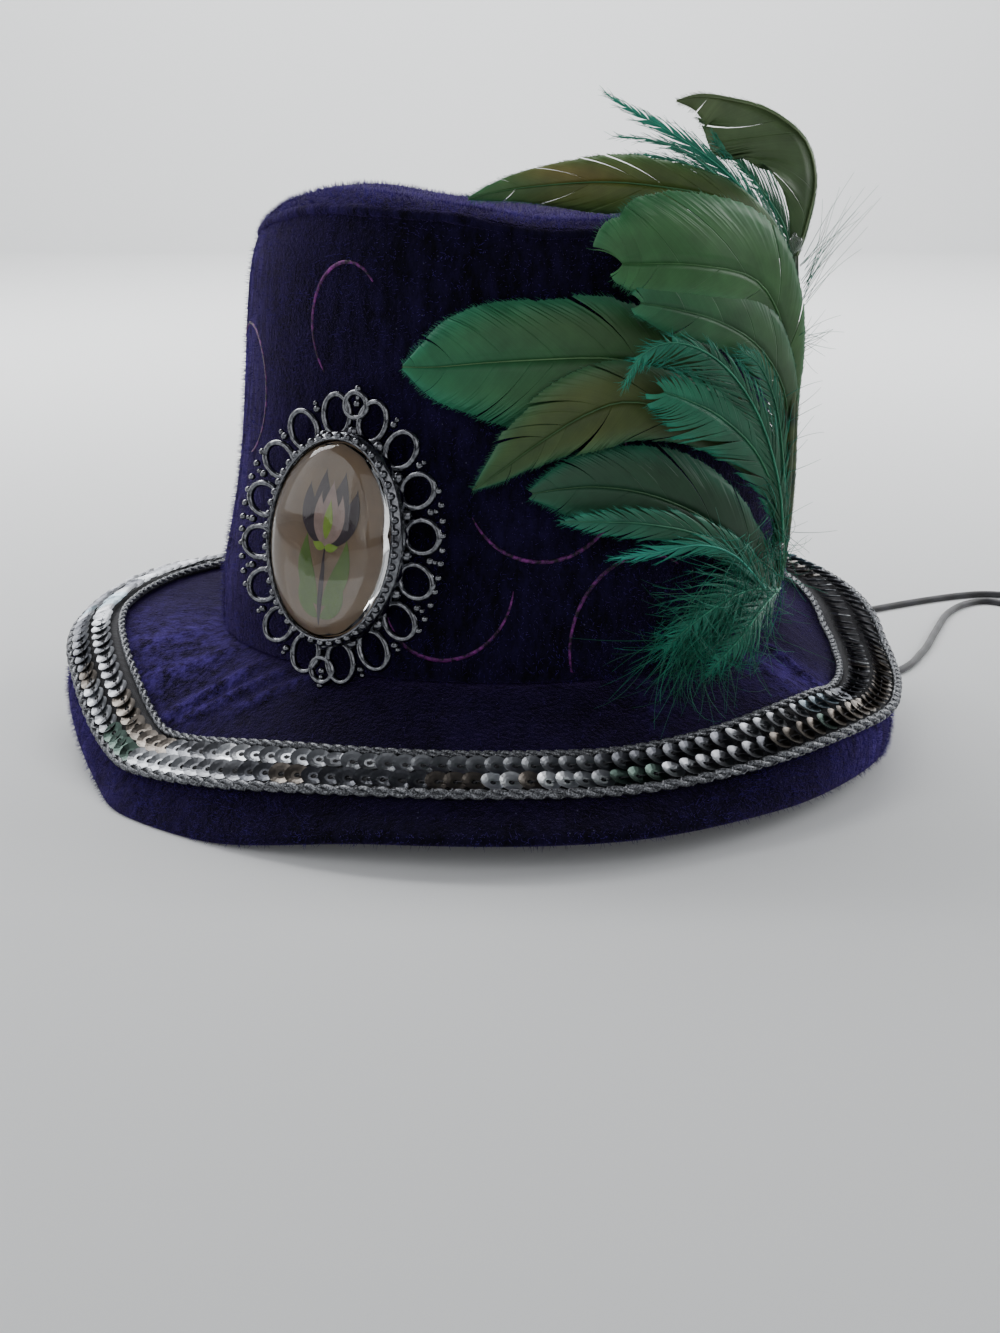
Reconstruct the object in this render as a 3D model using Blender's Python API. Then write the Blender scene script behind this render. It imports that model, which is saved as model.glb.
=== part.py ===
import math

import bmesh
import bpy
import numpy as np
from mathutils import Vector

for old in list(bpy.data.objects):
    bpy.data.objects.remove(old)

# Driving sizes of the hat, in metres
SEAM_R = 0.0655      # radius of the seam where the crown meets the brim
SEAM_H = 0.0281      # height of that seam above the table
CROWN_H = 0.100      # crown height that the rises below are shares of
BRIM_W = 0.044       # width of the brim from seam to edge, along the cloth
CROWN_T = 0.0022     # covered buckram wall of the crown
BRIM_T = 0.0024      # covered buckram of the brim
BRIM_LAP = 0.0032    # how far the brim runs in under the crown wall
TRIM_T = 0.0013      # gimp and sequin trim
GAP = 0.0003         # clearance between pieces that touch
STONE_W = 0.030      # oval cabochon, across
STONE_H = 0.040      # oval cabochon, upright
STONE_RISE = 0.0052  # cabochon dome
BEZEL_W = 0.0021     # wall of the bezel round the cabochon
BEZEL_T = 0.0046     # depth of the bezel
WIRE_R = 0.00078     # cast wire of the open petals
FEATHER_W = 0.012    # feather half width that the shares below refer to
FEATHER_T = 0.0012   # feather blade at its quill
QUILL_R = 0.0023     # bunch of quills at the side of the crown
CORD_D = 0.0020      # elastic cord
PLATE_T = 0.0009     # printed card under the cabochon
PLATE_UP = 0.0024    # back of the card above the back of the bezel
BROOCH_STAND = 0.0003  # back of the brooch off the crown
AROUND = 58
CROWN_AROUND = 40
OVAL = 32

# Brim by direction. az is the direction in degrees, then reach beyond the seam
# as a share of BRIM_W and height as a share of SEAM_H, at the trim's inner
# edge, the trim's outer edge and the rim.
BRIM = (("az", "in_reach", "in_rise", "out_reach", "out_rise", "rim_reach", "rim_rise"), (
    (-180, 0.511, 0.982, 0.784, 0.786, 0.852, 0.445),
    (-165, 0.482, 0.868, 0.723, 0.584, 0.800, 0.270),
    (-155, 0.473, 0.705, 0.705, 0.391, 0.790, 0.095),
    (-147, 0.489, 0.544, 0.711, 0.292, 0.818, 0.028),
    (-141, 0.510, 0.490, 0.730, 0.278, 0.880, 0.000),
    (-135, 0.477, 0.509, 0.700, 0.306, 0.845, 0.000),
    (-127, 0.450, 0.569, 0.682, 0.352, 0.839, 0.000),
    (-117, 0.416, 0.609, 0.657, 0.406, 0.830, 0.110),
    (-105, 0.391, 0.626, 0.639, 0.445, 0.825, 0.235),
    (-90, 0.380, 0.633, 0.634, 0.459, 0.830, 0.262),
    (-75, 0.375, 0.623, 0.627, 0.448, 0.812, 0.250),
    (-60, 0.391, 0.680, 0.643, 0.505, 0.755, 0.230),
    (-50, 0.405, 0.747, 0.648, 0.559, 0.705, 0.185),
    (-40, 0.400, 0.769, 0.657, 0.591, 0.680, 0.190),
    (-28, 0.366, 0.694, 0.648, 0.562, 0.645, 0.170),
    (-15, 0.309, 0.687, 0.600, 0.562, 0.575, 0.040),
    (-6, 0.280, 0.694, 0.591, 0.555, 0.550, 0.000),
    (5, 0.284, 0.747, 0.609, 0.619, 0.560, 0.000),
    (14, 0.318, 0.854, 0.659, 0.747, 0.630, 0.200),
    (25, 0.382, 0.936, 0.711, 0.861, 0.705, 0.430),
    (40, 0.432, 0.996, 0.739, 0.961, 0.775, 0.560),
    (60, 0.420, 0.920, 0.700, 0.830, 0.815, 0.450),
    (80, 0.398, 0.720, 0.640, 0.490, 0.810, 0.040),
    (90, 0.398, 0.694, 0.636, 0.445, 0.807, 0.000),
    (105, 0.398, 0.694, 0.636, 0.445, 0.807, 0.000),
    (118, 0.418, 0.790, 0.660, 0.590, 0.835, 0.130),
    (135, 0.455, 0.979, 0.727, 0.872, 0.875, 0.430),
    (155, 0.489, 1.014, 0.773, 0.925, 0.875, 0.530),
))

# Crown by direction: height of its top edge as a share of CROWN_H, and how
# far its wall stands in or out as a share of SEAM_R.
CROWN = (("az", "edge_rise", "swell"), (
    (-180, 0.868, -0.042),
    (-155, 0.908, -0.038),
    (-130, 0.938, -0.022),
    (-105, 0.928, -0.006),
    (-93, 0.916, -0.002),
    (-86, 0.892, 0.000),
    (-60, 0.894, 0.004),
    (-20, 0.882, 0.000),
    (20, 0.880, -0.006),
    (60, 0.894, -0.010),
    (100, 0.912, -0.016),
    (140, 0.904, -0.030),
))

# Crown wall: share of the way up, and radius as a share of SEAM_R.
WALL = (("up", "radius"), (
    (0.00, 0.994), (0.05, 1.004), (0.15, 1.014), (0.26, 0.998), (0.42, 0.958),
    (0.58, 0.936), (0.74, 0.920), (0.88, 0.903), (0.95, 0.888), (1.00, 0.862),
))

# Tip of the crown, left to right: place as a share of SEAM_R, and height as
# a share of CROWN_H.
TIP = (("across", "rise"), (
    (-1.00, 0.905), (-0.80, 0.960), (-0.62, 0.990), (-0.50, 0.996), (-0.34, 0.978),
    (-0.16, 0.944), (0.00, 0.929), (0.12, 0.914), (0.40, 0.905), (0.75, 0.900), (1.00, 0.895),
))

# Quill bunch from its foot up: direction, radius as a share of SEAM_R,
# height as a share of CROWN_H, thickness as a share of QUILL_R.
QUILLS = (("az", "radius", "rise", "thick"), (
    (-20.0, 1.024, 0.035, 0.55),
    (-20.0, 1.064, 0.150, 0.90),
    (-16.0, 1.046, 0.300, 1.00),
    (-12.8, 1.032, 0.470, 1.05),
    (-11.4, 1.028, 0.670, 1.00),
    (-10.5, 1.022, 0.880, 0.70),
))

# Feathers, each from the quill bunch to its tip: direction, radius as a share
# of SEAM_R, height as a share of CROWN_H, half width as a share of FEATHER_W,
# and the direction that the flat of the blade faces.
FEATHER = ("az", "radius", "rise", "half", "face")
FEATHERS = {
    "tall_olive": (
        (-10.9, 1.025, 0.780, 0.10, -60), (-9.6, 1.040, 0.870, 0.36, -66), (-8.6, 1.020, 0.955, 0.50, -70),
        (-7.4, 0.945, 1.040, 0.64, -74), (-6.3, 0.836, 1.098, 0.66, -78), (-4.9, 0.710, 1.130, 0.46, -80),
        (-2.9, 0.596, 1.152, 0.07, -80)),
    "wispy_teal": (
        (-11.0, 1.026, 0.720, 0.10, -50), (-17.0, 1.050, 0.830, 0.40, -62), (-24.0, 0.940, 0.940, 0.52, -72),
        (-22.1, 0.700, 1.035, 0.44, -80), (-24.4, 0.536, 1.106, 0.30, -84), (-28.7, 0.382, 1.170, 0.06, -84)),
    "gold_patch": (
        (-11.2, 1.026, 0.750, 0.10, -40), (-22.0, 1.070, 0.850, 0.36, -50), (-34.0, 0.990, 0.940, 0.50, -62),
        (-43.0, 0.790, 0.980, 0.46, -74), (-58.4, 0.665, 0.988, 0.38, -80), (-77.3, 0.625, 0.986, 0.31, -84),
        (-92.1, 0.640, 0.984, 0.17, -88), (-100.0, 0.685, 0.978, 0.04, -90)),
    "broad_upper": (
        (-11.4, 1.028, 0.620, 0.12, -30), (-21.7, 1.080, 0.740, 0.72, -40), (-31.0, 1.075, 0.795, 0.92, -48),
        (-45.2, 1.055, 0.835, 0.96, -56), (-56.4, 1.042, 0.846, 0.95, -62), (-64.8, 1.035, 0.842, 0.84, -68),
        (-70.2, 1.035, 0.836, 0.44, -72)),
    "long_left": (
        (-12.4, 1.030, 0.500, 0.10, -30), (-28.5, 1.010, 0.575, 0.60, -38), (-49.3, 0.972, 0.630, 0.78, -52),
        (-64.9, 0.967, 0.651, 0.84, -65), (-80.5, 0.967, 0.656, 0.87, -80), (-93.2, 0.967, 0.651, 0.75, -93),
        (-104.1, 0.975, 0.643, 0.46, -104), (-110.5, 1.000, 0.641, 0.06, -110)),
    "brown_left": (
        (-13.2, 1.036, 0.430, 0.10, -32), (-36.0, 1.030, 0.490, 0.60, -42), (-55.8, 1.014, 0.518, 0.70, -56),
        (-69.0, 1.012, 0.527, 0.64, -69), (-80.6, 1.012, 0.502, 0.50, -80), (-89.2, 1.015, 0.457, 0.33, -89),
        (-96.3, 1.020, 0.409, 0.06, -96)),
    "curled_teal": (
        (-13.8, 1.042, 0.400, 0.12, -40), (-24.0, 1.115, 0.490, 0.62, -46), (-37.9, 1.120, 0.590, 0.80, -50),
        (-53.0, 1.116, 0.640, 0.70, -56), (-63.0, 1.110, 0.630, 0.46, -64), (-70.5, 1.108, 0.581, 0.08, -70)),
    "side_down": (
        (-15.2, 1.050, 0.340, 0.14, -60), (-28.0, 1.115, 0.430, 0.46, -62), (-33.5, 1.120, 0.560, 0.57, -64),
        (-31.5, 1.110, 0.680, 0.55, -66), (-26.0, 1.090, 0.790, 0.40, -68), (-18.0, 1.080, 0.880, 0.10, -70)),
    "lower_wide": (
        (-16.8, 1.054, 0.250, 0.14, -34), (-27.0, 1.090, 0.290, 0.70, -38), (-41.5, 1.050, 0.345, 0.86, -46),
        (-55.1, 1.036, 0.376, 0.82, -56), (-67.5, 1.030, 0.381, 0.60, -67), (-76.9, 1.030, 0.371, 0.36, -77),
        (-82.8, 1.030, 0.367, 0.06, -83)),
    "lower_teal": (
        (-18.6, 1.064, 0.190, 0.14, -40), (-31.0, 1.130, 0.205, 0.50, -44), (-44.4, 1.112, 0.235, 0.56, -50),
        (-56.3, 1.106, 0.254, 0.44, -58), (-65.1, 1.100, 0.261, 0.22, -65), (-72.6, 1.096, 0.266, 0.05, -72)),
    "down_left": (
        (-20.5, 1.066, 0.165, 0.12, -44), (-31.0, 1.165, 0.165, 0.46, -50), (-42.2, 1.165, 0.142, 0.56, -54),
        (-52.2, 1.140, 0.110, 0.46, -58), (-60.7, 1.115, 0.078, 0.06, -62)),
    "down_right": (
        (-21.0, 1.058, 0.120, 0.12, -50), (-30.0, 1.160, 0.118, 0.40, -54), (-37.0, 1.200, 0.090, 0.46, -56),
        (-43.5, 1.190, 0.065, 0.32, -58), (-49.0, 1.175, 0.044, 0.06, -60)),
}

# Elastic loop, from its stitch inside the crown on the right, out under the
# brim, round and back to the stitch on the left: shares of SEAM_R across and
# back, then height as a share of SEAM_H.
ELASTIC = (("across", "back", "rise"), (
    (0.928, 0.080, 1.140), (0.926, 0.095, 0.900), (0.945, 0.120, 0.480), (1.010, 0.190, 0.085),
    (1.200, 0.360, 0.036), (1.590, 0.690, 0.036), (1.765, 1.010, 0.036), (1.895, 1.360, 0.036),
    (2.020, 1.690, 0.036), (2.140, 1.880, 0.036), (2.255, 1.955, 0.036), (2.345, 1.900, 0.036),
    (2.440, 1.880, 0.036), (2.480, 1.970, 0.036), (2.400, 2.070, 0.036), (2.230, 2.090, 0.036),
    (1.950, 1.950, 0.036), (1.560, 1.680, 0.036), (1.120, 1.330, 0.036), (0.680, 0.970, 0.036),
    (0.120, 0.620, 0.036), (-0.420, 0.350, 0.036), (-0.760, 0.200, 0.085), (-0.890, 0.164, 0.440),
    (-0.917, 0.160, 0.880), (-0.917, 0.160, 1.140),
))


def looked_up(table, at, column):
    """Value of a named column between two rows, flat where neighbours turn back."""
    columns, rows = table
    place = columns.index(column)
    keys = [row[0] for row in rows]
    values = [row[place] for row in rows]
    if at <= keys[0]:
        return values[0]
    if at >= keys[-1]:
        return values[-1]
    i = max(k for k in range(len(keys) - 1) if keys[k] <= at)

    def lean(k):
        if k <= 0 or k >= len(keys) - 1:
            return 0.0
        before = (values[k] - values[k - 1]) / (keys[k] - keys[k - 1])
        after = (values[k + 1] - values[k]) / (keys[k + 1] - keys[k])
        return 0.0 if before * after <= 0 else 2 * before * after / (before + after)

    wide = keys[i + 1] - keys[i]
    t = (at - keys[i]) / wide
    ease = 3 * t ** 2 - 2 * t ** 3
    start = (t ** 3 - 2 * t ** 2 + t) * wide * lean(i)
    end = (t ** 3 - t ** 2) * wide * lean(i + 1)
    return values[i] + (values[i + 1] - values[i]) * ease + start + end


def turned(table, az, column):
    """The same for a table that goes all the way round."""
    columns, rows = table
    az = (az + 180.0) % 360.0 - 180.0
    before = tuple((row[0] - 360.0,) + row[1:] for row in rows[-3:])
    after = tuple((row[0] + 360.0,) + row[1:] for row in rows[:3])
    return looked_up((columns, before + rows + after), az, column)


def through(points, t):
    """Smooth curve through points, t from 0 to the last index."""
    i = min(len(points) - 2, max(0, int(t)))
    t -= i
    p1 = points[i]
    p2 = points[i + 1]
    p0 = points[i - 1] if i else 2 * p1 - p2
    p3 = points[i + 2] if i + 2 < len(points) else 2 * p2 - p1
    square = (2 * p0 - 5 * p1 + 4 * p2 - p3) * t ** 2
    cube = (3 * p1 - p0 - 3 * p2 + p3) * t ** 3
    return 0.5 * (2 * p1 + (p2 - p0) * t + square + cube)


def polar(az, radius, height):
    a = math.radians(az)
    return Vector((radius * math.cos(a), radius * math.sin(a), height))


def solid(name, points, faces):
    """One closed body with its faces pointing out."""
    body = bmesh.new()
    made = [body.verts.new(p) for p in points]
    for face in faces:
        body.faces.new([made[i] for i in face])
    bmesh.ops.recalc_face_normals(body, faces=body.faces)
    mesh = bpy.data.meshes.new(name)
    body.to_mesh(mesh)
    body.free()
    mesh.shade_smooth()
    mesh.set_sharp_from_angle(angle=math.radians(40))
    piece = bpy.data.objects.new(name, mesh)
    bpy.context.collection.objects.link(piece)
    return piece


def looped(name, rings, closed):
    """A body from rings of points, closed on itself or capped at both ends."""
    count = len(rings[0])
    points = [p for ring in rings for p in ring]
    faces = []
    for i in range(len(rings) if closed else len(rings) - 1):
        a = i * count
        b = (i + 1) % len(rings) * count
        for k in range(count):
            n = (k + 1) % count
            faces.append((a + k, a + n, b + n, b + k))
    if not closed:
        faces.append(tuple(range(count)))
        faces.append(tuple(range(len(points) - count, len(points))))
    return solid(name, points, faces)


def fused(body, other):
    """Join another body into this one."""
    join = body.modifiers.new("join", "BOOLEAN")
    join.operation = "UNION"
    join.solver = "EXACT"
    join.object = other
    bpy.context.view_layer.objects.active = body
    bpy.ops.object.modifier_apply(modifier=join.name)
    bpy.data.objects.remove(other)


def finish(piece, colour, roughness, metallic=0.0):
    material = bpy.data.materials.new(piece.name)
    material.use_nodes = True
    shader = material.node_tree.nodes["Principled BSDF"]
    shader.inputs["Base Color"].default_value = (*colour, 1.0)
    shader.inputs["Roughness"].default_value = roughness
    shader.inputs["Metallic"].default_value = metallic
    piece.data.materials.append(material)


# Brim

AZIMUTHS = [-180 + 360 * i / AROUND for i in range(AROUND)]
STATIONS = ("in", "out", "rim")
SECTION_STEPS = (0, 0.33, 0.67, 1, 1.5, 2, 2.5, 3)
TRIM_STEPS = slice(4, 7)   # the steps between the trim's edges, after the lap


def brim_section(az):
    """Upper outline of the brim at one direction, as radius and height."""
    stations = [Vector((SEAM_R, SEAM_H))]
    for station in STATIONS:
        reach = turned(BRIM, az, station + "_reach")
        rise = turned(BRIM, az, station + "_rise")
        stations.append(Vector((SEAM_R + BRIM_W * reach, SEAM_H * rise)))
    return [Vector((SEAM_R - BRIM_LAP, SEAM_H))] + [through(stations, t) for t in SECTION_STEPS]


def under(line, depth):
    """The outline moved square to itself, down for a plus."""
    moved = []
    for i, p in enumerate(line):
        along = line[min(i + 1, len(line) - 1)] - line[max(i - 1, 0)]
        along.normalize()
        moved.append(Vector((p.x + along.y * depth, p.y - along.x * depth)))
    return moved


rings = []
for az in AZIMUTHS:
    upper = brim_section(az)
    lower = under(upper, BRIM_T)
    lower[0].x = upper[0].x
    if upper[-1].y < GAP:
        lower[-1].y = 0.0
    outline = [Vector((p.x, max(0.0, p.y))) for p in upper + lower[::-1]]
    rings.append([polar(az, p.x, p.y) for p in outline])
brim = looped("brim", rings, True)
finish(brim, (0.012, 0.004, 0.045), 0.85)

# Crown side, a tapered wall that ends at the seam of its tip

CROWN_AZIMUTHS = [-180 + 360 * i / CROWN_AROUND for i in range(CROWN_AROUND)]
FOOT = SEAM_H + GAP
UPS = [row[0] for row in WALL[1]]


def crown_edge(az):
    return SEAM_H + CROWN_H * turned(CROWN, az, "edge_rise")


def crown_radius(az, up):
    swell = turned(CROWN, az, "swell") * min(1.0, 4 * up)
    return SEAM_R * (looked_up(WALL, up, "radius") + swell)


rings = []
for az in CROWN_AZIMUTHS:
    tall = crown_edge(az) - FOOT
    outer = [polar(az, crown_radius(az, up), FOOT + tall * up) for up in UPS]
    inner = [polar(az, crown_radius(az, up) - CROWN_T, FOOT + tall * up) for up in UPS[::2] + UPS[-1:]]
    rings.append(outer + inner[::-1])
crown = looped("crown_side", rings, True)
finish(crown, (0.012, 0.004, 0.045), 0.85)

# Crown tip, puffed up on the left and sewn round its edge

TIP_SHARES = (1.0, 0.945, 0.87, 0.72, 0.48, 0.24)
SEAM_ZONE = 0.93     # beyond this share the tip lies on the wall's top edge
EDGE_TUCK = 0.45     # thickness left at the sewn edge


def tip_height(az, share):
    """Under face of the tip at a share of its radius."""
    edge = crown_edge(az)
    across = share * looked_up(WALL, 1.0, "radius") * math.cos(math.radians(az))
    middle = SEAM_H + CROWN_H * looked_up(TIP, across, "rise") - CROWN_T - GAP
    puff = CROWN_T * 0.5 * (share ** 3 - share ** 12)
    height = edge + (middle - edge) * (1 - share ** 5) + puff
    return GAP + (max(height, edge) if share > SEAM_ZONE else height)


points = []
for thick in (CROWN_T, 0.0):
    for share in TIP_SHARES:
        tuck = EDGE_TUCK if share == 1.0 else 1.0
        for az in CROWN_AZIMUTHS:
            points.append(polar(az, crown_radius(az, 1.0) * share, tip_height(az, share) + thick * tuck))
    points.append(Vector((0, 0, tip_height(0, 0) + thick)))
faces = []
block = CROWN_AROUND * len(TIP_SHARES) + 1
for start in (0, block):
    last = start + CROWN_AROUND * (len(TIP_SHARES) - 1)
    for k in range(CROWN_AROUND):
        n = (k + 1) % CROWN_AROUND
        for a in range(start, last, CROWN_AROUND):
            faces.append((a + k, a + n, a + CROWN_AROUND + n, a + CROWN_AROUND + k))
        faces.append((last + k, last + n, start + block - 1))
for k in range(CROWN_AROUND):
    n = (k + 1) % CROWN_AROUND
    faces.append((k, n, block + n, block + k))
tip = solid("crown_tip", points, faces)
finish(tip, (0.012, 0.004, 0.045), 0.85)

# Sequin and gimp trim, a band that follows the brim

TRIM_LIFT = GAP * 1.3
rings = []
for az in AZIMUTHS:
    line = brim_section(az)
    low = under(line, -TRIM_LIFT)[TRIM_STEPS]
    high = under(line, -TRIM_LIFT - TRIM_T)[TRIM_STEPS]
    rings.append([polar(az, p.x, p.y) for p in low + high[::-1]])
trim = looped("sequin_trim", rings, True)
finish(trim, (0.16, 0.16, 0.17), 0.3, 0.9)

# Brooch, laid flat against the front left of the crown

BROOCH_AZ = -122.5
BROOCH_SLIDE = 0.0026    # along the crown from where its back touches
BROOCH_RISE = 0.285      # middle of the brooch, share of CROWN_H
BROOCH_LEAN = math.radians(7.5)
BROOCH_ROLL = math.radians(-5.0)
BROOCH_SEAT = 0.979      # crown's radius behind it, share of SEAM_R
out = polar(BROOCH_AZ, 1.0, 0.0)
side = Vector((-out.y, out.x, 0.0))
facing = out * math.cos(BROOCH_LEAN) + Vector((0, 0, math.sin(BROOCH_LEAN)))
lift = facing.cross(side)
right_axis = side * math.cos(BROOCH_ROLL) + lift * math.sin(BROOCH_ROLL)
up_axis = lift * math.cos(BROOCH_ROLL) - side * math.sin(BROOCH_ROLL)
touch = polar(BROOCH_AZ, SEAM_R * BROOCH_SEAT + BROOCH_STAND, SEAM_H + CROWN_H * BROOCH_RISE)
seat = touch + side * BROOCH_SLIDE
HALF_W = STONE_W / 2
HALF_H = STONE_H / 2


def pinned(x, y, z):
    """A point of the brooch: across, up, and out from its back."""
    return seat + right_axis * x + up_axis * y + facing * z


def oval(half_w, half_h, z):
    turns = [2 * math.pi * k / OVAL for k in range(OVAL)]
    return [pinned(half_w * math.cos(a), half_h * math.sin(a), z) for a in turns]


# Bezel wall from its inner foot round to its inner lip: growth beyond the
# cabochon, and depth as a share of BEZEL_T.
BEZEL = ((GAP, 0.0), (BEZEL_W, 0.0), (BEZEL_W, 0.72), (BEZEL_W * 0.62, 1.0), (GAP, 0.9))
ovals = [oval(HALF_W + grow, HALF_H + grow, BEZEL_T * share) for grow, share in BEZEL]
frame = looped("brooch_frame", [list(ring) for ring in zip(*ovals)], True)

PETALS = 16
PETAL_W = 0.0033     # half width of an open petal, to the middle of its wire
PETAL_L = 0.0041     # half length
BALL_R = 0.00135
SINK = 0.0006        # how far wires run into the bezel
PATH_W = HALF_W + BEZEL_W + PETAL_L - SINK
PATH_H = HALF_H + BEZEL_W + PETAL_L - SINK
WIRE_Z = WIRE_R * 1.25


def wire_loop(x, y, aim, half_across, half_along, wire, turns=10, sides=4):
    """An oval ring of wire, its length turned to an angle."""
    rings = []
    for k in range(turns):
        a = 2 * math.pi * k / turns
        ring = []
        for m in range(sides):
            b = 2 * math.pi * (m + 0.5) / sides
            across = (half_across + wire * math.cos(b)) * math.sin(a)
            along = (half_along + wire * math.cos(b)) * math.cos(a)
            ring.append(pinned(x + along * math.cos(aim) - across * math.sin(aim),
                               y + along * math.sin(aim) + across * math.cos(aim),
                               WIRE_Z + wire * math.sin(b)))
        rings.append(ring)
    return looped("loop", rings, True)


def ball(x, y, radius):
    body = bmesh.new()
    bmesh.ops.create_icosphere(body, subdivisions=1, radius=radius)
    for vertex in body.verts:
        vertex.co = pinned(x + vertex.co.x, y + vertex.co.y, WIRE_Z + vertex.co.z)
    bmesh.ops.recalc_face_normals(body, faces=body.faces)
    mesh = bpy.data.meshes.new("ball")
    body.to_mesh(mesh)
    body.free()
    piece = bpy.data.objects.new("ball", mesh)
    bpy.context.collection.objects.link(piece)
    return piece


FINE = 720
path = [Vector((PATH_W * math.cos(2 * math.pi * k / FINE), PATH_H * math.sin(2 * math.pi * k / FINE)))
        for k in range(FINE + 1)]
run = [0.0]
for a, b in zip(path[:-1], path[1:]):
    run.append(run[-1] + (b - a).length)


def on_path(share):
    """Place and outward angle at a share of the petals' oval."""
    i = max(k for k in range(FINE) if run[k] <= share * run[-1])
    return path[i], math.atan2(path[i].y / PATH_H ** 2, path[i].x / PATH_W ** 2)


for k in range(PETALS):
    at, aim = on_path((k + 0.5) / PETALS)
    fused(frame, wire_loop(at.x, at.y, aim, PETAL_W, PETAL_L, WIRE_R))
for k in range(PETALS):
    at, aim = on_path(k / PETALS)
    inward = PETAL_L - SINK
    fused(frame, ball(at.x - inward * math.cos(aim), at.y - inward * math.sin(aim), BALL_R))
END_W = PETAL_W * 0.82
END_L = PETAL_W * 0.78
for way in (1, -1):
    end = way * (PATH_H + PETAL_L * 0.48)
    fused(frame, wire_loop(0.0, end, math.radians(90), END_W, END_L, WIRE_R * 0.93))
finish(frame, (0.10, 0.10, 0.11), 0.3, 1.0)

# Picture under the glass, and the glass

CARD_FACE = PLATE_UP + PLATE_T
card = [oval(HALF_W, HALF_H, z) for z in (PLATE_UP, CARD_FACE)]
picture = looped("brooch_picture", card, False)
finish(picture, (0.17, 0.12, 0.08), 0.5)

# Glass dome from its foot up: size as a share of the oval, rise as a share of STONE_RISE.
DOME = ((1.0, 0.0), (1.0, 0.16), (0.93, 0.42), (0.78, 0.70), (0.55, 0.90), (0.28, 0.985))
dome = [oval(HALF_W * size, HALF_H * size, CARD_FACE + GAP + STONE_RISE * rise)
        for size, rise in DOME]
glass = looped("brooch_cabochon", dome, False)
finish(glass, (0.9, 0.9, 0.9), 0.03)

# Plume, feathers fused to one bunch of quills

QUILL_STEPS = 13
QUILL_SIDES = 6
quill_rows = [Vector(row) for row in QUILLS[1]]
rings = []
for i in range(QUILL_STEPS):
    az, radius, rise, thick = through(quill_rows, i / (QUILL_STEPS - 1) * (len(quill_rows) - 1))
    middle = polar(az, radius * SEAM_R, SEAM_H + rise * CROWN_H)
    out = polar(az, 1.0, 0.0) * QUILL_R * thick
    around = Vector((-out.y, out.x, 0.0))
    turns = [2 * math.pi * k / QUILL_SIDES for k in range(QUILL_SIDES)]
    rings.append([middle + out * 0.85 * math.cos(a) + around * 1.15 * math.sin(a) for a in turns])
plume = looped("plume", rings, False)

# Blade section: place across as a share of the half width, thickness as a share of FEATHER_T.
BLADE = ((-1, -0.25), (-1, 0.25), (0, 0.5), (1, 0.25), (1, -0.25), (0, -0.5))
LEAST_HALF = 0.05


def blade(name, table):
    rows = [np.array(row, dtype=float) for row in table]
    steps = 2 * len(rows) - 1
    line = [through(rows, i / 2) for i in range(steps)]
    middles = []
    for station in line:
        at = dict(zip(FEATHER, station))
        middles.append(polar(at["az"], at["radius"] * SEAM_R, SEAM_H + at["rise"] * CROWN_H))
    rings = []
    for i, station in enumerate(line):
        at = dict(zip(FEATHER, station))
        along = middles[min(i + 1, steps - 1)] - middles[max(i - 1, 0)]
        wide = along.cross(polar(at["face"], 1.0, 0.0)).normalized()
        thick = wide.cross(along).normalized()
        wide *= max(LEAST_HALF, at["half"]) * FEATHER_W
        rings.append([middles[i] + wide * across + thick * FEATHER_T * deep for across, deep in BLADE])
    return looped(name, rings, False)


for name, table in FEATHERS.items():
    fused(plume, blade(name, table))
finish(plume, (0.01, 0.11, 0.05), 0.55)

# Elastic chin loop

ELASTIC_POINTS = 80
FINE = 1200
route = [Vector((across * SEAM_R, back * SEAM_R, rise * SEAM_H)) for across, back, rise in ELASTIC[1]]
fine = [through(route, (len(route) - 1) * i / FINE) for i in range(FINE + 1)]
run = [0.0]
for a, b in zip(fine[:-1], fine[1:]):
    run.append(run[-1] + (b - a).length)
curve = bpy.data.curves.new("chin_elastic", "CURVE")
curve.dimensions = "3D"
curve.bevel_depth = CORD_D / 2
curve.bevel_resolution = 2
curve.use_fill_caps = True
spline = curve.splines.new("POLY")
spline.points.add(ELASTIC_POINTS - 1)
for i, point in enumerate(spline.points):
    want = run[-1] * i / (ELASTIC_POINTS - 1)
    at = fine[min(range(FINE + 1), key=lambda k: abs(run[k] - want))]
    point.co = (at.x, at.y, max(at.z, CORD_D / 2), 1.0)
elastic = bpy.data.objects.new("chin_elastic", curve)
bpy.context.collection.objects.link(elastic)
finish(elastic, (0.02, 0.02, 0.022), 0.6)

# The hat without its loose elastic stands centred on the origin

pieces = [piece for piece in bpy.data.objects if piece.type == "MESH"]
xs = [vertex.co.x for piece in pieces for vertex in piece.data.vertices]
ys = [vertex.co.y for piece in pieces for vertex in piece.data.vertices]
shift = Vector((-(min(xs) + max(xs)) / 2, -(min(ys) + max(ys)) / 2, 0.0))
for piece in pieces:
    for vertex in piece.data.vertices:
        vertex.co += shift
for point in spline.points:
    point.co.x += shift.x
    point.co.y += shift.y
print("elastic length mm", round(run[-1] * 1000, 1), "moved mm", [round(v * 1000, 3) for v in shift])
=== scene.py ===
import math
import random

import bmesh
import bpy
import numpy as np
from mathutils import Matrix, Vector
from mathutils.bvhtree import BVHTree


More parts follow.
